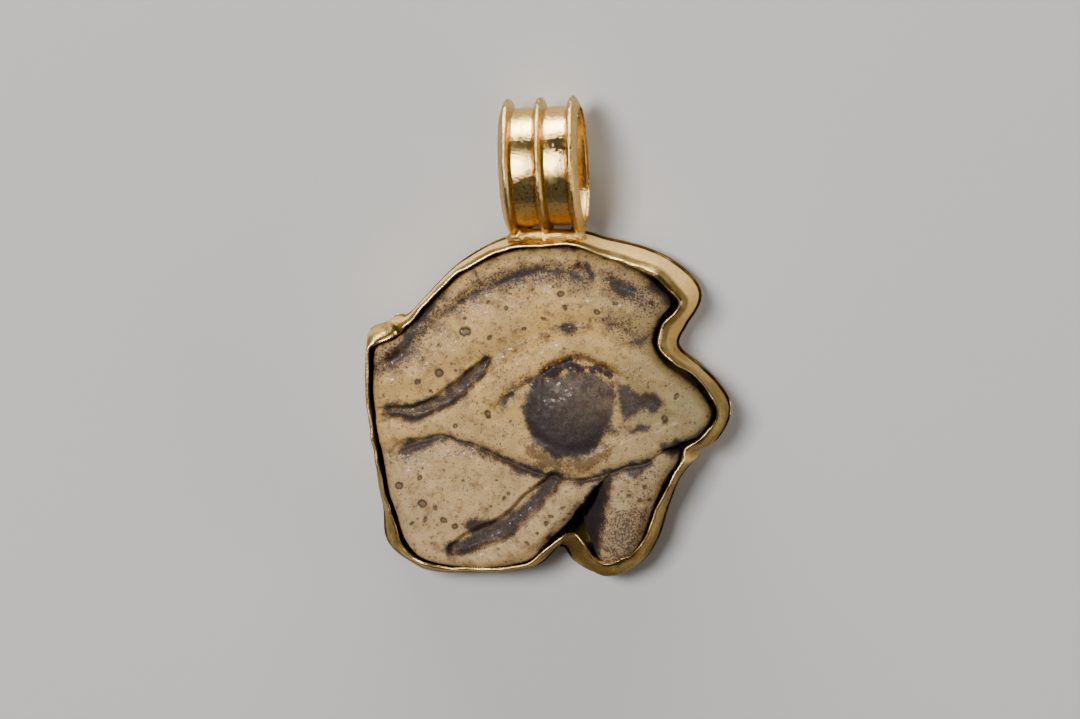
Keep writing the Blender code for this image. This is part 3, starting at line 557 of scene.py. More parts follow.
height += PUPIL_HEIGHT * np.sqrt(np.clip(1 - from_pupil**2, 0, 1)) * ease((1 - from_pupil) * 2.6)
height -= EYE_CREASE_DEPTH * ease(-off_line(wander, EYE_CREASE) / 2.4)
from_edge = np.array([edge_tree.find((x, y, 0))[2] for x, y in face_points]) * AMULET_WIDTH / 100
in_share = np.clip(from_edge / EDGE_ROUND, 0, 1)
height -= EDGE_DROP * (1 - np.sqrt(1 - (1 - in_share) ** 2))
for size, swell, draw in SWELLINGS:
    height += swell * mottle(face_points, size, draw)

# What the glaze reads at each point of the face: its masks, and how wide their borders are in percent
MASKS = ("dark", "halo", "deep", "worn", "thin", "amber", "brown", "stain")
PATCH_BORDER, PATCH_HALO = 5.6, 7
LINE_BORDER, LINE_HALO = 4.2, 6
masks = {name: np.zeros(len(face_points)) for name in MASKS}
ragged = 0.6 * mottle(face_points, 2.2, 61, 5)
for name, border, middle, blur, *outline in PATCHES:
    depth = depth_in(face_points, outline) + ragged
    strength = border + (middle - border) * ease((depth - 0.4) / 2)
    masks[name] = np.maximum(masks[name], strength * ease(0.5 + depth / (PATCH_BORDER * blur)))
    if name == "dark":
        masks["halo"] = np.maximum(masks["halo"], border * ease(0.5 + depth / PATCH_HALO))
for name, strength, blur, *route in LINES:
    depth = ragged - off_line(face_points, route)
    masks[name] = np.maximum(masks[name], strength * ease(0.5 + depth / (LINE_BORDER * blur)))
    if name == "dark":
        masks["halo"] = np.maximum(masks["halo"], 0.9 * strength * ease(0.5 + depth / LINE_HALO))
masks["deep"] *= masks["dark"]
masks["worn"] *= 1 - masks["deep"]

# Pits: the ones in the table, and many small ones. Dark glaze is sunk a little, and finely grained
SMALL_PITS = 520
SMALL_RADII = (0.18, 0.52)
PIT_DEPTH = 0.075 * MM
DARK_DEPTH = 0.03 * MM
DARK_GRAIN = 0.006 * MM
scatter = np.random.default_rng(7)
small = zip(
    scatter.uniform(low[0], high[0], SMALL_PITS),
    scatter.uniform(low[1], high[1], SMALL_PITS),
    scatter.uniform(*SMALL_RADII, SMALL_PITS),
)
for number, (x, y, radius) in enumerate([*PITS, *small]):
    near = np.abs(face_points - (x, y)).max(1) < radius * 2.2
    off = face_points[near] - (x, y)
    turn = number * 2.4
    across_pit = off @ (math.cos(turn), math.sin(turn)) / radius
    along_pit = off @ (-math.sin(turn), math.cos(turn)) / (radius * (0.74 + 0.2 * math.sin(number)))
    far = np.sqrt(across_pit**2 + along_pit**2) + 0.14 * mottle(face_points[near], 0.8, 71)
    bowl = ease((1.15 - far) * 2)
    rim = ease(1 - np.abs(far - 0.82) / 0.45)
    deepness = 0.95 if number < len(PITS) else 0.25 + 0.5 * (math.sin(number * 1.7) * 0.5 + 0.5)
    height[near] -= min(radius, 1.2) * PIT_DEPTH * bowl * deepness
    stained = (0.85 * bowl + 0.60 * rim) * min(1, 1.3 * deepness)
    masks["stain"][near] = np.maximum(masks["stain"][near], stained)
height += DARK_GRAIN * masks["dark"] * mottle(face_points, 0.7, 81, 2)
height -= DARK_DEPTH * masks["dark"]

# The rounded side and the flat back
SIDE_SHARES = (0.04, 0.16, 0.36, 0.58, 0.78, 0.92, 1.0)
SIDE_SOFTENED = 8
side_in = -outward(amulet_edge)
for _ in range(SIDE_SOFTENED):
    side_in = (np.roll(side_in, 1, axis=0) + side_in + np.roll(side_in, -1, axis=0)) / 3
rows_3d = [np.column_stack([face_points * AMULET_WIDTH / 100, AMULET_BACK + height])]
faces = [tuple(triangle) for triangle in face_triangles]
round_count = len(amulet_edge)
previous = list(edge_at)
for share in SIDE_SHARES:
    tuck = 5.6 * max(0.0, share - 0.6) ** 2
    level = AMULET_BACK + height[edge_at] * (1 - share)
    start = sum(len(row) for row in rows_3d)
    rows_3d.append(np.column_stack([(amulet_edge + side_in * tuck) * AMULET_WIDTH / 100, level]))
    ring = list(range(start, start + round_count))
    for k in range(round_count):
        m = (k + 1) % round_count
        faces.append((previous[k], previous[m], ring[m], ring[k]))
    previous = ring
    for name in masks:
        masks[name] = np.concatenate([masks[name], masks[name][edge_at] * (1 - share)])
points = np.vstack(rows_3d)
back_edge = [Vector(points[i][:2]) for i in previous]
_, _, back_faces, sources, *_ = delaunay_2d_cdt(back_edge, edge_pairs, [], 1, 1e-9)
faces += [tuple(previous[sources[i][0]] for i in reversed(triangle)) for triangle in back_faces]


def put_down(name, mesh, turn=Matrix()):
    """Lays a mesh down with the pendant, keeps it inside the solids' box and makes its object."""
    mesh.transform(LAY_DOWN @ turn)
    places = np.empty(3 * len(mesh.vertices), np.float32)
    mesh.vertices.foreach_get("co", places)
    places = np.clip(places.reshape(-1, 3), cad_box[0], cad_box[1])
    mesh.vertices.foreach_set("co", places.ravel())
    shape = bmesh.new()
    shape.from_mesh(mesh)
    bmesh.ops.recalc_face_normals(shape, faces=shape.faces)
    shape.to_mesh(mesh)
    shape.free()
    mesh.shade_smooth()
    return new_object(name, mesh)


def give_mask(mesh, name, values):
    """Keeps a value at each of a mesh's points, for its material."""
    mesh.attributes.new(name, "FLOAT", "POINT").data.foreach_set("value", np.array(values, np.float32))


amulet_mesh = bpy.data.meshes.new("amulet_stone")
amulet_mesh.from_pydata(points.tolist(), [], faces)
for name, mask in masks.items():
    give_mask(amulet_mesh, name, mask)
amulet = put_down("amulet_stone", amulet_mesh)


def new_material(name):
    """A material, its tree and its shader."""
    made = bpy.data.materials.new(name)
    made.use_nodes = True
    return made, made.node_tree, made.node_tree.nodes["Principled BSDF"]


def noise_node(tree, place, scale, detail=4.0, roughness=0.6):
    """A noise at this scale, from a place."""
    node = tree.nodes.new("ShaderNodeTexNoise")
    node.inputs["Scale"].default_value = scale
    node.inputs["Detail"].default_value = detail
    node.inputs["Roughness"].default_value = roughness
    tree.links.new(place, node.inputs["Vector"])
    return node.outputs["Fac"]


def ramp(tree, value, low, high, bottom=0.0, top=1.0):
    """The value spread from low to high, over bottom to top, with a smooth step."""
    node = tree.nodes.new("ShaderNodeMapRange")
    node.interpolation_type = "SMOOTHSTEP"
    for name, number in (("From Min", low), ("From Max", high), ("To Min", bottom), ("To Max", top)):
        node.inputs[name].default_value = number
    tree.links.new(value, node.inputs["Value"])
    return node.outputs["Result"]


def give(tree, socket, value):
    """Links a socket to another one, or sets it to a value."""
    if isinstance(value, bpy.types.NodeSocket):
        tree.links.new(value, socket)
    else:
        socket.default_value = value


def blend(tree, share, first, second):
    """One colour laid over another by a share. Each may be a colour or a socket."""
    node = tree.nodes.new("ShaderNodeMix")
    node.data_type = "RGBA"
    give(tree, node.inputs[0], share)
    for socket, colour in ((node.inputs[6], first), (node.inputs[7], second)):
        give(tree, socket, (*colour, 1) if isinstance(colour, tuple) else colour)
    return node.outputs[2]


def sums(tree, operation, first, second=0.0):
    """An operation on two values, each a number or a socket."""
    node = tree.nodes.new("ShaderNodeMath")
    node.operation = operation
    give(tree, node.inputs[0], first)
    give(tree, node.inputs[1], second)
    return node.outputs[0]


def times(tree, first, second):
    return sums(tree, "MULTIPLY", first, second)


def weigh(tree, first, share, second):
    """Two values mixed, with this share of the second."""
    return sums(tree, "ADD", times(tree, first, 1 - share), times(tree, second, share))


def read_mask(tree, name):
    """A value kept at the mesh's points."""
    node = tree.nodes.new("ShaderNodeAttribute")
    node.attribute_name = name
    return node.outputs["Fac"]


def roughen(tree, shader, height, strength, distance):
    """Gives a material a bumpy surface."""
    bump = tree.nodes.new("ShaderNodeBump")
    bump.inputs["Strength"].default_value = strength
    bump.inputs["Distance"].default_value = distance
    tree.links.new(height, bump.inputs["Height"])
    tree.links.new(bump.outputs["Normal"], shader.inputs["Normal"])


glaze, tree, shader = new_material("old_cream_glaze")
place = tree.nodes.new("ShaderNodeTexCoord").outputs["Object"]
broad = noise_node(tree, place, 260, 3)
middling = noise_node(tree, place, 1400, 5)
fine = noise_node(tree, place, 6500, 4, 0.7)
finest = noise_node(tree, place, 13000, 3, 0.7)
side = tree.nodes.new("ShaderNodeSeparateXYZ")
tree.links.new(place, side.inputs[0])
greener = ramp(tree, side.outputs["X"], 0.000, 0.012)
pinker = ramp(tree, side.outputs["Y"], -0.004, -0.013)
cream = blend(tree, ramp(tree, broad, 0.38, 0.62), (0.62, 0.378, 0.118), (0.48, 0.300, 0.104))
cream = blend(tree, greener, cream, (0.235, 0.190, 0.080))
cream = blend(tree, times(tree, pinker, 0.6), cream, (0.44, 0.315, 0.175))
cream = blend(tree, ramp(tree, middling, 0.46, 0.70, 0, 0.7), cream, (0.30, 0.18, 0.060))


def lay(under, source, threshold, softness, mask, push, share, over):
    """A colour laid on another where a noise rises over a threshold. A mask pushes the noise up."""
    raised = sums(tree, "ADD", source, times(tree, mask, push))
    shown = ramp(tree, raised, threshold, threshold + softness)
    return blend(tree, times(tree, shown, share), under, over)


patchy = weigh(tree, middling, 0.55, fine)
grainy = weigh(tree, middling, 0.65, finest)
crowded = ramp(tree, noise_node(tree, place, 520, 3), 0.45, 0.65)
seen = {name: read_mask(tree, name) for name in MASKS}
# Each layer on the cream: its noise, threshold and softness, its mask and push, its share and colour
colour = cream
for layer in (
    (fine, 0.59, 0.05, crowded, 0.04, 0.5, (0.14, 0.080, 0.028)),
    (finest, 0.61, 0.04, crowded, 0.05, 0.55, (0.10, 0.055, 0.020)),
    # brown: glaze runs, made darker as painted shade at the foot of the eye
    (patchy, 0.56, 0.26, seen["brown"], 0.46, 0.9, (0.11, 0.050, 0.010)),
    (patchy, 0.50, 0.34, seen["halo"], 0.38, 0.75, (0.155, 0.098, 0.055)),
    (middling, 0.52, 0.30, seen["thin"], 0.36, 0.65, (0.20, 0.125, 0.065)),
    (fine, 0.60, 0.05, seen["thin"], 0.13, 0.85, (0.045, 0.028, 0.020)),
):
    colour = lay(colour, *layer)
colour = blend(tree, times(tree, seen["stain"], 0.85), colour, (0.075, 0.045, 0.022))
dark_colour = blend(tree, ramp(tree, fine, 0.44, 0.66), (0.024, 0.016, 0.015), (0.066, 0.046, 0.031))
# Pale specks in the dark glaze: partly grain, partly painted glints; in the deepest colour, painted bluish
# glints
dark_colour = blend(tree, ramp(tree, finest, 0.61, 0.69), dark_colour, (0.14, 0.10, 0.06))
worn_colour = blend(tree, ramp(tree, patchy, 0.44, 0.58), (0.135, 0.090, 0.058), (0.034, 0.023, 0.020))
dark_colour = blend(tree, seen["worn"], dark_colour, worn_colour)
deep_colour = blend(tree, ramp(tree, finest, 0.54, 0.70), (0.008, 0.006, 0.009), (0.060, 0.050, 0.060))
dark_colour = blend(tree, seen["deep"], dark_colour, deep_colour)
colour = lay(colour, grainy, 0.60, 0.22, seen["dark"], 0.43, 0.95, dark_colour)
colour = lay(colour, patchy, 0.60, 0.16, seen["amber"], 0.40, 1.0, (0.085, 0.036, 0.008))
colour = lay(colour, patchy, 0.69, 0.14, seen["amber"], 0.36, 1.0, (0.013, 0.006, 0.005))
tree.links.new(colour, shader.inputs["Base Color"])
tree.links.new(ramp(tree, middling, 0.3, 0.7, 0.52, 0.70), shader.inputs["Roughness"])
shader.inputs["Specular IOR Level"].default_value = 0.25
wet = ramp(tree, noise_node(tree, place, 4200, 4), 0.54, 0.70, 0.02, 0.36)
tree.links.new(wet, shader.inputs["Coat Weight"])
shader.inputs["Coat Roughness"].default_value = 0.14
roughen(tree, shader, sums(tree, "ADD", times(tree, fine, 0.5), middling), 0.7, 0.00007)
amulet.data.materials.append(glaze)
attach(amulet, "root")
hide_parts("amulet")

# The setting's strip
# One strip of gold sheet, bent by hand round the amulet with its ends soldered at the right, and its free
# edge rubbed down over the stone. It is dented, puckered at the corners, and has painted shade down inside.
STRIP_THICKNESS = 0.28 * MM
STRIP_WIDTH = 4.75 * MM
LIP_WIDTH = 0.85 * MM
BELLY = 0.12 * MM
PLATE_THICKNESS = 0.35 * MM
STRIP_STEPS = 760
INNER_LEVELS = 15
# The level its width is measured from, and the share of its thickness that is left at the free edge
STRIP_FOOT = 0.45 * MM
EDGE_SHARE = 0.62
# How often the directions out of its outline are evened
OUT_SOFTENED = 160
# Its dents, from a smooth random value: depth, size and draw
DENTS = ((0.080 * MM, 1.5 * MM, 1.7), (0.014 * MM, 0.5 * MM, 5.5))
CREASE_DEPTH = 0.11 * MM
SEAM_HEIGHT = 0.26 * MM
# The strip's own points at the gap between the legs, where it doesn't follow the amulet
STRIP_NOTCH = ((1.6, -35.2, 0.24, 0.20, -1.20, -1.00), (-2.2, -35.9, 0.24, 0.10, -0.40, -0.70))
# Puckers, where the sheet had to fold: across and up in mm, how far they reach, and how much rougher
PUCKERS = (
    (3.2, -10.9, 1.8, 2.2), (-12.6, 4.9, 1.5, -0.95), (7.2, 8.2, 1.8, 1.2), (9.6, -0.6, 1.4, 1.2),
    (-10.6, -10.4, 2.0, 0.9),
)
# Where the strip is darker: across and up in mm, how far it reaches, and how much
STAINED = ((8.2, 5.6, 0.9, 0.5), (-12.4, 4.9, 1.4, 0.8), (-13.0, 5.2, 1.0, 0.9))
# The cut edge of the sheet, with its burr: across it and out of it, in shares of its thickness
CUT_EDGE = ((0.06, 0.10), (0.25, 0.17), (0.5, 0.19), (0.75, 0.15), (0.94, 0.06))
SEAM = Vector((8.2, -2.9)) * MM
SEAM_WIDTH = 0.42 * MM
BAIL_SIDES = (-4.9 * MM, 1.5 * MM)

strip_rows = np.array(EDGE + STRIP_NOTCH)
strip_rows[:, :2] *= AMULET_WIDTH / 100
strip_rows[:, 2:] *= MM
strip_rows = smooth_line(strip_rows, STRIP_STEPS)
out = outward(strip_rows[:, :2])
for _ in range(OUT_SOFTENED):
    out = (np.roll(out, 1, axis=0) + out + np.roll(out, -1, axis=0)) / 3
    out /= np.linalg.norm(out, axis=1)[:, None]


def nearness(x, y, centre_x, centre_y, reach):
    """1 at a centre, and fading over the reach."""
    return math.exp(-((x - centre_x) ** 2 + (y - centre_y) ** 2) / reach**2)


def crumple(point, size, seed):
    """A smooth random value in space, with lumps of this size."""
    return noise.noise(point / size + Vector((seed, seed * 0.7, -seed)))


def strip_section(gap, lip, lean, thick):
    """Round the strip's section from its inner foot: how far out, how high and the share of the lean."""
    shoulder = STRIP_FOOT + math.sqrt((STRIP_WIDTH - LIP_WIDTH) ** 2 - lean**2)
    rim = shoulder + math.sqrt(LIP_WIDTH**2 - lip**2)
    middle = (gap + lip + BELLY, (PLATE_THICKNESS + shoulder) / 2)
    knots = [
        (gap + lip, PLATE_THICKNESS, 1),
        (gap + lip + BELLY * 0.7, PLATE_THICKNESS * 0.6 + middle[1] * 0.4, 0.8),
        (*middle, 0.5),
        (gap + lip + BELLY * 0.25, shoulder * 0.75 + middle[1] * 0.25, 0.125),
        (gap + lip * 0.55, shoulder * 0.55 + rim * 0.45, 0),
        (gap, rim, 0),
    ]
    inner = smooth_line(knots, INNER_LEVELS, closed=False)
    slope = np.gradient(inner[:, :2], axis=0)
    away = np.column_stack([slope[:, 1], -slope[:, 0]])
    away /= np.linalg.norm(away, axis=1)[:, None]
    end, side, up = inner[-1, :2], away[-1], slope[-1] / np.linalg.norm(slope[-1])
    edge = thick * EDGE_SHARE
    cut = [end + side * edge * share + up * edge * swell for share, swell in CUT_EDGE]
    thin = thick * (1 - (1 - EDGE_SHARE) * ease((inner[:, 1] - shoulder * 0.95) / (rim - shoulder)))
    outer = np.column_stack([inner[:, :2] + away * thin[:, None], inner[:, 2]])[::-1]
    return np.vstack([inner, [(*p, 0) for p in cut], outer])


places = []
marks = []
for x, y, gap, lip, lean_x, lean_y in strip_rows:
    out_x, out_y = out[len(places)]
    base = Vector((x, y, 0))
    rough = 1 + sum(more * nearness(x / MM, y / MM, *spot) for *spot, more in PUCKERS)
    stained = max(share * nearness(x / MM, y / MM, *spot) for *spot, share in STAINED)
    low_side = ease(0.5 - (y * 0.8 - x * 0.3 - 1.0 * MM) / (7 * MM))
    wave = crumple(base, 1.3 * MM, 3.1)
    ripple = crumple(base, 0.38 * MM, 8.4)
    fold = 0.5 - 2 * abs(crumple(base, 2.0 * MM, 6.3))
    section = strip_section(gap, lip, math.hypot(lean_x, lean_y), STRIP_THICKNESS * (1 + 0.05 * ripple))
    top = section[INNER_LEVELS][1]
    at_seam = nearness(x + out_x * 0.4 * MM, y, *SEAM, SEAM_WIDTH)
    under_bail = ease((x - BAIL_SIDES[0]) / MM + 0.5) * ease((BAIL_SIDES[1] - x) / MM + 0.5)
    ring = []
    for level, (d, z, lean) in enumerate(section):
        rise = min(1.0, max(0.0, (z - PLATE_THICKNESS) / (top - PLATE_THICKNESS)))
        at = Vector((x, y, z))
        dent = -0.02 * MM + sum(depth * crumple(at, size, draw) for depth, size, draw in DENTS)
        dent -= CREASE_DEPTH * abs(crumple(at, 1.9 * MM, 9.9))
        d += dent * rise * rough + (0.050 * wave + 0.004 * ripple + 0.045 * fold) * MM * rise**4 * rough
        if level >= INNER_LEVELS:
            d += SEAM_HEIGHT * at_seam * (1 - 0.4 * rise)
        z += (0.07 * MM * wave + 0.004 * MM * ripple - 0.03 * MM) * rise**3 * rough
        ring.append((x + out_x * d + lean_x * lean, y + out_y * d + lean_y * lean, z))
        if level < INNER_LEVELS:
            # Inside, painted shade darkens the gold towards its foot, down in the gap round the amulet
            marks.append((ease((4.5 * MM - z) / (1.2 * MM)), 0.0, 1.0, 0.5))
            continue
        on_wall = level >= INNER_LEVELS + len(CUT_EDGE)
        past_burr = level >= INNER_LEVELS + len(CUT_EDGE) - 1
        on_lip = ease((z - STRIP_WIDTH + LIP_WIDTH - 0.25 * MM) / (0.2 * MM)) * past_burr
        bail_solder = ease((5.1 * MM - z) / (0.5 * MM)) * (under_bail if y > 8 * MM else 0.0)
        plate_solder = 0.7 * ease((0.75 * MM - z) / (0.35 * MM))
        solder = max(bail_solder, at_seam * 0.9, plate_solder)
        # Tarnish and darker spots, with painted shade on the wall's low left side and a painted dark
        # reflection on the lip
        aged_and_shaded = 0.15 + 0.85 * low_side if on_wall else 0.4 + 0.5 * low_side
        satin = 1 - 0.7 * on_lip if on_wall else 0.35
        marks.append((0.0, solder, (1 - at_seam) * max(on_lip, stained, aged_and_shaded), satin))
    places.append(ring)

levels = len(places[0])
strip_mesh = bpy.data.meshes.new("gold_strip")
strip_faces = []
for k in range(STRIP_STEPS):
    here, there = k * levels, (k + 1) % STRIP_STEPS * levels
    for level in range(levels):
        above = (level + 1) % levels
        strip_faces.append((here + level, there + level, there + above, here + above))
strip_mesh.from_pydata([p for ring in places for p in ring], [], strip_faces)
for name, values in zip(("painted_shade", "solder", "tarnish_and_shade", "satin"), zip(*marks)):
    give_mask(strip_mesh, name, values)
strip = put_down("gold_strip", strip_mesh)

# The surface of gold worked by hand: colour, roughness and height, from the piece's own place
worked = bpy.data.node_groups.new("hand_worked_gold", "ShaderNodeTree")
for name in ("Solder", "Painted_Shade", "Tarnish_And_Shade", "Satin", "Scratches", "Pitted"):
    worked.interface.new_socket(name, in_out="INPUT", socket_type="NodeSocketFloat")
worked.interface.new_socket("Color", in_out="OUTPUT", socket_type="NodeSocketColor")
for name in ("Roughness", "Height"):
    worked.interface.new_socket(name, in_out="OUTPUT", socket_type="NodeSocketFloat")
given = worked.nodes.new("NodeGroupInput").outputs
result = worked.nodes.new("NodeGroupOutput")
place = worked.nodes.new("ShaderNodeTexCoord").outputs["Object"]
cloudy = noise_node(worked, place, 520, 4)
grain = noise_node(worked, place, 5600, 3, 0.75)
stretch = worked.nodes.new("ShaderNodeMapping")
stretch.inputs["Scale"].default_value = (0.16, 1.0, 0.5)
stretch.inputs["Rotation"].default_value = (0.2, 0.4, 0.6)
worked.links.new(place, stretch.inputs["Vector"])
scratch = noise_node(worked, stretch.outputs["Vector"], 4200, 3)
gold_colour = blend(worked, ramp(worked, cloudy, 0.36, 0.64), (0.95, 0.66, 0.25), (0.88, 0.60, 0.21))
gold_colour = blend(worked, given["Solder"], gold_colour, (0.87, 0.575, 0.19))
# Tarnish, and on the strip the painted shade and dark reflection that its mask carries
aged_and_shaded = times(worked, given["Tarnish_And_Shade"], ramp(worked, cloudy, 0.32, 0.58, 0.7, 1))
gold_colour = blend(worked, aged_and_shaded, gold_colour, (0.22, 0.14, 0.040))
streaks = times(worked, ramp(worked, scratch, 0.54, 0.66), times(worked, aged_and_shaded, 0.7))
gold_colour = blend(worked, streaks, gold_colour, (0.11, 0.075, 0.022))
pocked = ramp(worked, noise_node(worked, place, 6500, 4, 0.7), 0.53, 0.62)
pitted = times(worked, pocked, given["Pitted"])
gold_colour = blend(worked, pitted, gold_colour, (0.16, 0.105, 0.03))
# Painted shade: the gold is darkened and roughened where its mask says, down in the gaps
shaded_share = times(worked, given["Painted_Shade"], ramp(worked, cloudy, 0.30, 0.55, 0.8, 1))
gold_colour = blend(worked, shaded_share, gold_colour, (0.05, 0.03, 0.008))
worked.links.new(gold_colour, result.inputs["Color"])
roughness = sums(worked, "ADD", ramp(worked, cloudy, 0.34, 0.66, 0.08, 0.16), times(worked, shaded_share, 0.4))
roughness = sums(worked, "ADD", roughness, times(worked, given["Satin"], 0.50))
worked.links.new(roughness, result.inputs["Roughness"])
lines = times(worked, scratch, given["Scratches"])
worked.links.new(sums(worked, "ADD", lines, times(worked, grain, 0.8)), result.inputs["Height"])


def gold_material(name, scratches, satin, depth, masks=(), tarnished=0.0, pitted=0.0):
    """One piece's gold: how scratched, satin, tarnished and pitted it is, and the depth of its marks."""
    made, tree, shader = new_material(name)
    group = tree.nodes.new("ShaderNodeGroup")
    group.node_tree = worked
    looks = {"Scratches": scratches, "Satin": satin, "Tarnish_And_Shade": tarnished, "Pitted": pitted}
    for look, amount in looks.items():
        group.inputs[look].default_value = amount
    for mask in masks:
        tree.links.new(read_mask(tree, mask), group.inputs[mask.title()])
    tree.links.new(group.outputs["Color"], shader.inputs["Base Color"])
    tree.links.new(group.outputs["Roughness"], shader.inputs["Roughness"])
    shader.inputs["Metallic"].default_value = 1
    shader.inputs["Specular Tint"].default_value = (0.92, 0.79, 0.60, 1)
    roughen(tree, shader, group.outputs["Height"], 0.8, depth)
    return made


strip_masks = ("solder", "painted_shade", "tarnish_and_shade", "satin")
strip.data.materials.append(gold_material("strip_gold", 1.0, 0.5, 0.00002, strip_masks, pitted=0.35))
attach(strip, "root")
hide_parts("bezel_strip")

# The back plate
# A flat gold sheet that closes the back of the setting and keeps the amulet in. It was sawn out just
# wider than the strip, soldered to it all round, and filed at its edge.
PLATE_OVERHANG = 0.08 * MM
# The plate's edge, from its back to its front: how far it stands out and how high, in mm. Its middle
# is a shallow hollow between the two filed corners.
FILED_EDGE = ((0.10, 0.0), (0.03, 0.03), (0.0, 0.10), (0.0, 0.25), (0.03, 0.32), (0.10, 0.35))
reach = strip_rows[:, 2] + strip_rows[:, 3] + STRIP_THICKNESS + PLATE_OVERHANG
plate_edge = (strip_rows[:, :2] + out * reach[:, None] + strip_rows[:, 4:6])[::2]
plate_out = outward(plate_edge)
plate_shape = bmesh.new()
plate_rows = []
for stand, z in FILED_EDGE:
    row = plate_edge + plate_out * stand * MM
    plate_rows.append([plate_shape.verts.new((*spot, z * MM)) for spot in row])
for lower, upper in zip(plate_rows, plate_rows[1:]):
    for i in range(len(lower)):
        plate_shape.faces.new((lower[i - 1], lower[i], upper[i], upper[i - 1]))
caps = [plate_shape.faces.new(plate_rows[0]), plate_shape.faces.new(plate_rows[-1])]
bmesh.ops.triangulate(plate_shape, faces=caps)
plate_mesh = bpy.data.meshes.new("gold_back_plate")
plate_shape.to_mesh(plate_mesh)
plate_shape.free()
# The plate's front, under the amulet, is darkened as painted shade
give_mask(plate_mesh, "painted_shade", [v.co.z > 0.3 * MM for v in plate_mesh.vertices])
plate = put_down("gold_back_plate", plate_mesh)
plate_mesh.set_sharp_from_angle(angle=math.radians(40))
plate.data.materials.append(gold_material("plate_gold", 0.8, 0.2, 0.00002, ("painted_shade",)))
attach(plate, "root")
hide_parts("back_plate")

# The bail's tube
# A short tube of gold sheet for the chain. It was tumbled after soldering, so it is finely pitted outside,
# and its bore is smooth.
BAIL_BORE_RADIUS = 3.9 * MM
BAIL_SHEET = 0.3 * MM
RIB_HEIGHT = 0.68 * MM
RIB_WIDTH = 0.70 * MM
RIB_PITCH = 2.29 * MM
BAIL_TURN = math.radians(3.4)
BAIL_AT = Vector((-1.954, 17.055, 2.6)) * MM
BAIL_PLACE = Matrix.Translation(BAIL_AT) @ Matrix.Rotation(BAIL_TURN, 4, "Z")
BAIL_STEPS = 240
# How far the sheet sinks between the ribs
SAG = 0.035 * MM
sheet_top = BAIL_BORE_RADIUS + BAIL_SHEET
bail_end = RIB_PITCH + RIB_WIDTH / 2 - 0.02 * MM
outside = []
for share in np.linspace(-0.985, 0.985, 40):
    sunk = SAG * (1 + math.cos(2 * math.pi * share * bail_end / RIB_PITCH))
    outside.append((bail_end * share, sheet_top - sunk))
rounded = [(bail_end, sheet_top - BAIL_SHEET * share) for share in (0.12, 0.35, 0.65, 0.88)]
bore = [(bail_end * share * 0.985, BAIL_BORE_RADIUS) for share in np.linspace(1, -1, 14)]
profile = outside + rounded + bore + [(-along, radius) for along, radius in reversed(rounded)]
bail_places, bail_faces, warm, low_sides = [], [], [], []
around = len(profile)
total = BAIL_STEPS * around
for k in range(BAIL_STEPS):
    angle = 2 * math.pi * k / BAIL_STEPS
    for along, radius in profile:
        spot = Vector((along, math.sin(angle) * radius, math.cos(angle) * radius))
        sway = 0.025 * MM * noise.noise(Vector((math.sin(angle), math.cos(angle), along / (2 * MM))) * 1.3)
        if radius > BAIL_BORE_RADIUS:
            tumbled = 0.016 * MM * noise.noise(spot / (1.3 * MM))
            radius += tumbled + 0.003 * MM * noise.noise(spot / (0.3 * MM)) - 0.01 * MM
        i = len(bail_places)
        beside = i + 1 if (i + 1) % around else i + 1 - around
        bail_faces.append((i, beside, (beside + around) % total, (i + around) % total))
        bail_places.append((along + sway, math.sin(angle) * radius, math.cos(angle) * radius))
        # On the low side the solder colour is partly solder and partly a painted reflection of the gold below
        low_side = ease((-spot.y - 1.6 * MM) / (1.2 * MM))
        low_sides.append(low_side)
        warm.append(max(0.75 * (radius < BAIL_BORE_RADIUS + 0.01 * MM), low_side))
bail_mesh = bpy.data.meshes.new("gold_bail")
bail_mesh.from_pydata(bail_places, [], bail_faces)
give_mask(bail_mesh, "solder", warm)
give_mask(bail_mesh, "satin", 0.6 * np.array(low_sides))
bail = put_down("gold_bail", bail_mesh, BAIL_PLACE)
bail_gold = gold_material("bail_gold", 0.15, 0.0, 0.00005, ("solder", "satin"), pitted=0.7)
bail.data.materials.append(bail_gold)
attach(bail, "root")
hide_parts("bail")

# The bail's ribs
# Three half-round gold wires, soldered round the tube side by side, so a fillet of solder runs along
# each foot. One is at each end of the tube and one in the middle.
RIB_COUNT = 3
RIB_FOOT = 0.22
RIB_DENTS = 0.10 * MM


def wire_node(kind, inputs=None, **settings):
    """A node of the ribs' tree, with values or links given to its inputs by name. Gives its outputs."""
    made = wires.nodes.new(kind)
    for name, value in settings.items():
        setattr(made, name, value)
    for name, value in (inputs or {}).items():
        give(wires, made.inputs[name], value)
    return made.outputs


wires = bpy.data.node_groups.new("wire_ribs", "GeometryNodeTree")
wires.interface.new_socket("Geometry", in_out="OUTPUT", socket_type="NodeSocketGeometry")
RIB_INPUTS = {
    "Tube Radius": sheet_top,
    "Rib Height": RIB_HEIGHT,
    "Rib Width": RIB_WIDTH,
    "Pitch": RIB_PITCH,
    "Foot": RIB_FOOT,
    "Dents": RIB_DENTS,
}
kinds = {name: "NodeSocketFloat" for name in RIB_INPUTS}
kinds |= {"Count": "NodeSocketInt", "Gold": "NodeSocketMaterial"}
sockets = {}
for name, kind in kinds.items():
    sockets[name] = wires.interface.new_socket(name, in_out="INPUT", socket_type=kind).identifier
wire = wires.nodes.new("NodeGroupInput").outputs
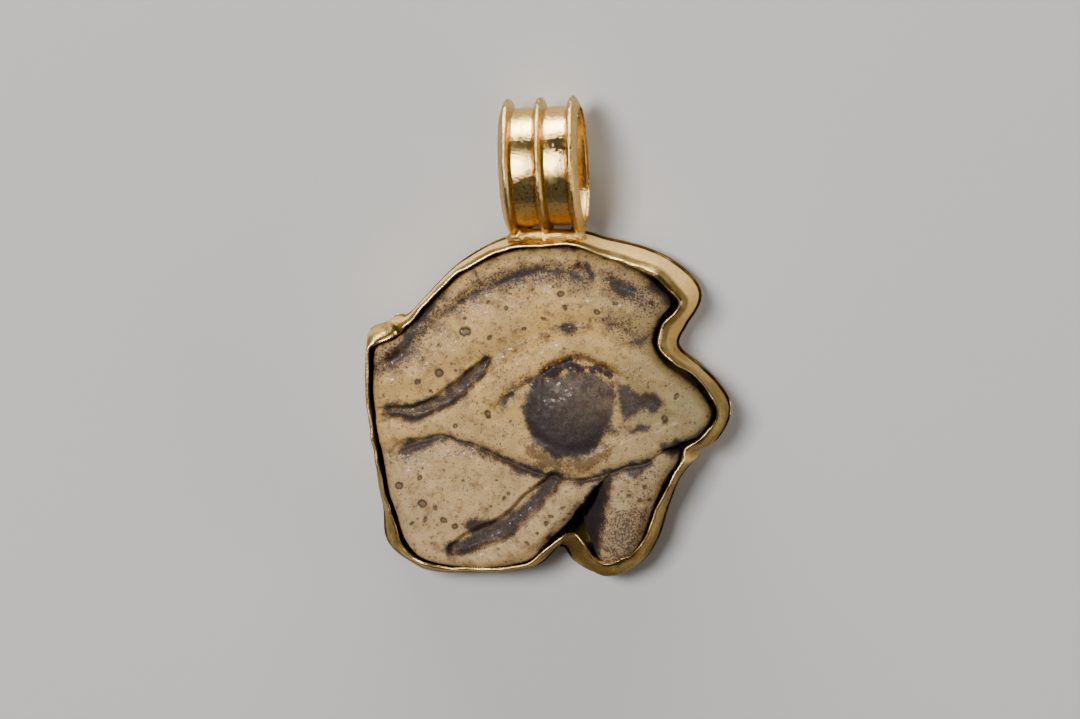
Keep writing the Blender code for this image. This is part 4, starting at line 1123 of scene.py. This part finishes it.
# The wire's half-round section, with its foot flared out
path = wire_node("GeometryNodeCurvePrimitiveCircle", {"Resolution": 240, "Radius": wire["Tube Radius"]})
half = wire_node("GeometryNodeCurvePrimitiveCircle", {"Resolution": 28, "Radius": 0.5})
where = wire_node("GeometryNodeInputPosition")[0]
spot = wire_node("ShaderNodeSeparateXYZ", {"Vector": where})
above = times(wires, sums(wires, "MAXIMUM", spot["X"], -0.12), 2.0)
below = sums(wires, "MAXIMUM", sums(wires, "SUBTRACT", 1.0, above), 0.0)
flare = sums(wires, "ADD", 1.0, times(wires, sums(wires, "POWER", below, 4.0), wire["Foot"]))
shaped = wire_node("ShaderNodeCombineXYZ", {
    "X": times(wires, above, wire["Rib Height"]),
    "Y": times(wires, times(wires, spot["Y"], flare), wire["Rib Width"]),
})
half = wire_node("GeometryNodeSetPosition", {"Geometry": half["Curve"], "Position": shaped[0]})
swept = wire_node("GeometryNodeCurveToMesh", {"Curve": path["Curve"], "Profile Curve": half[0]})
# One rib at each pitch
step_over = wire_node("ShaderNodeCombineXYZ", {"X": wire["Pitch"]})
first = wire_node("ShaderNodeCombineXYZ", {"X": times(wires, wire["Pitch"], -1.0)})
spread = wire_node("GeometryNodeMeshLine", {
    "Count": wire["Count"], "Start Location": first[0], "Offset": step_over[0],
})
placed = wire_node("GeometryNodeInstanceOnPoints", {
    "Points": spread[0], "Instance": swept[0], "Rotation": (0, math.pi / 2, 0),
})
real = wire_node("GeometryNodeRealizeInstances", {"Geometry": placed[0]})
# Small dents, all inward
lumps = wire_node("ShaderNodeTexNoise", {"Vector": where, "Scale": 2600.0, "Detail": 1.5})
inward = times(wires, sums(wires, "SUBTRACT", lumps["Fac"], 0.65), wire["Dents"])
normal = wire_node("GeometryNodeInputNormal")
shift = wire_node("ShaderNodeVectorMath", {"Vector": normal[0], "Scale": inward}, operation="SCALE")
dented = wire_node("GeometryNodeSetPosition", {"Geometry": real[0], "Offset": shift[0]})
# Where solder colours the gold: along each foot; and on the low side, partly solder and partly a painted
# reflection of the gold below
squares = sums(wires, "ADD", sums(wires, "POWER", spot["Y"], 2.0), sums(wires, "POWER", spot["Z"], 2.0))
off_tube = sums(wires, "SUBTRACT", sums(wires, "SQRT", squares), wire["Tube Radius"])
fillet = ramp(wires, sums(wires, "DIVIDE", off_tube, wire["Rib Height"]), 0.05, 0.35, 0.6, 0.0)
low_side = ramp(wires, spot["Y"], -0.0034, -0.0042, 0.0, 1.0)
marked = wire_node(
    "GeometryNodeStoreNamedAttribute",
    {"Geometry": dented[0], "Name": "solder", "Value": sums(wires, "MAXIMUM", fillet, low_side)},
    data_type="FLOAT", domain="POINT",
)
painted = wire_node("GeometryNodeSetMaterial", {"Geometry": marked[0], "Material": wire["Gold"]})
wires.links.new(painted[0], wires.nodes.new("NodeGroupOutput").inputs[0])

maker = new_object("rib_maker", bpy.data.meshes.new("rib_maker"))
bend = maker.modifiers.new("ribs", "NODES")
bend.node_group = wires
for name, value in RIB_INPUTS.items():
    bend[sockets[name]] = value
bend[sockets["Count"]] = RIB_COUNT
bend[sockets["Gold"]] = gold_material("rib_gold", 0.3, 0.0, 0.00010, ("solder",), 0.25, 0.8)
rib_mesh = bpy.data.meshes.new_from_object(maker.evaluated_get(bpy.context.evaluated_depsgraph_get()))
bpy.data.objects.remove(maker)
ribs = put_down("gold_ribs", rib_mesh, BAIL_PLACE)
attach(ribs, "root")

# The solder under the bail
# Three feet of melted gold solder, one under each rib, run together with the strip's shoulder. Two small
# holes are left between them. Each foot, from the left: across and width in mm.
FEET = ((-3.62, 1.45), (-1.75, 0.80), (0.54, 0.90))
FOOT_LEVEL = 12.5 * MM
WALL_LEVEL = 12.02 * MM
FOOT_DEPTH = 2.5 * MM
LEDGE = (-4.15, 0.75)
# Each blob: its place, and its size across, up and deep, in mm
blobs = []
for across, width in FEET:
    blobs.append(((across, FOOT_LEVEL / MM, 2.75), (width, 1.1, FOOT_DEPTH / MM)))
    blobs.append(((across, 12.8, 2.65), (width * 1.35, 0.46, 2.2)))
    blobs.append(((across, WALL_LEVEL / MM, 2.95), (width * 1.3, 0.55, 2.6)))
# A ledge of solder along the strip's shoulder, thinner at its ends
for along in np.linspace(0, 1, 40):
    end = abs(2 * along - 1) ** 3
    across = LEDGE[0] + (LEDGE[1] - LEDGE[0]) * along
    spot = (across, WALL_LEVEL / MM + 0.32 - 0.22 * end, 3.65 - 0.3 * end)
    blobs.append((spot, (0.8, 0.9 - 0.25 * end, 1.1)))
solder_shape = bmesh.new()
for spot, size in blobs:
    ball = bmesh.ops.create_uvsphere(solder_shape, u_segments=20, v_segments=14, radius=0.5 * MM)
    bmesh.ops.scale(solder_shape, vec=size, verts=ball["verts"])
    bmesh.ops.translate(solder_shape, vec=Vector(spot) * MM, verts=ball["verts"])
solder_mesh = bpy.data.meshes.new("solder_feet")
solder_shape.to_mesh(solder_mesh)
solder_shape.free()
blob_object = new_object("solder_blobs", solder_mesh)
melt = blob_object.modifiers.new("melt", "REMESH")
melt.mode = "VOXEL"
melt.voxel_size = 0.06 * MM
flow = blob_object.modifiers.new("flow", "SMOOTH")
flow.iterations = 6
melted = bpy.data.meshes.new_from_object(blob_object.evaluated_get(bpy.context.evaluated_depsgraph_get()))
bpy.data.objects.remove(blob_object)
for v in melted.vertices:
    lump = 0.05 * MM * noise.noise(v.co / (0.45 * MM)) + 0.02 * MM * noise.noise(v.co / (0.15 * MM))
    v.co += v.normal * lump
give_mask(melted, "solder", np.ones(len(melted.vertices)))
solder_feet = put_down("solder_feet", melted)
solder_feet.data.materials.append(gold_material("foot_solder", 0.25, 0.25, 0.00010, ("solder",), 0.45, 0.6))
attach(solder_feet, "root")
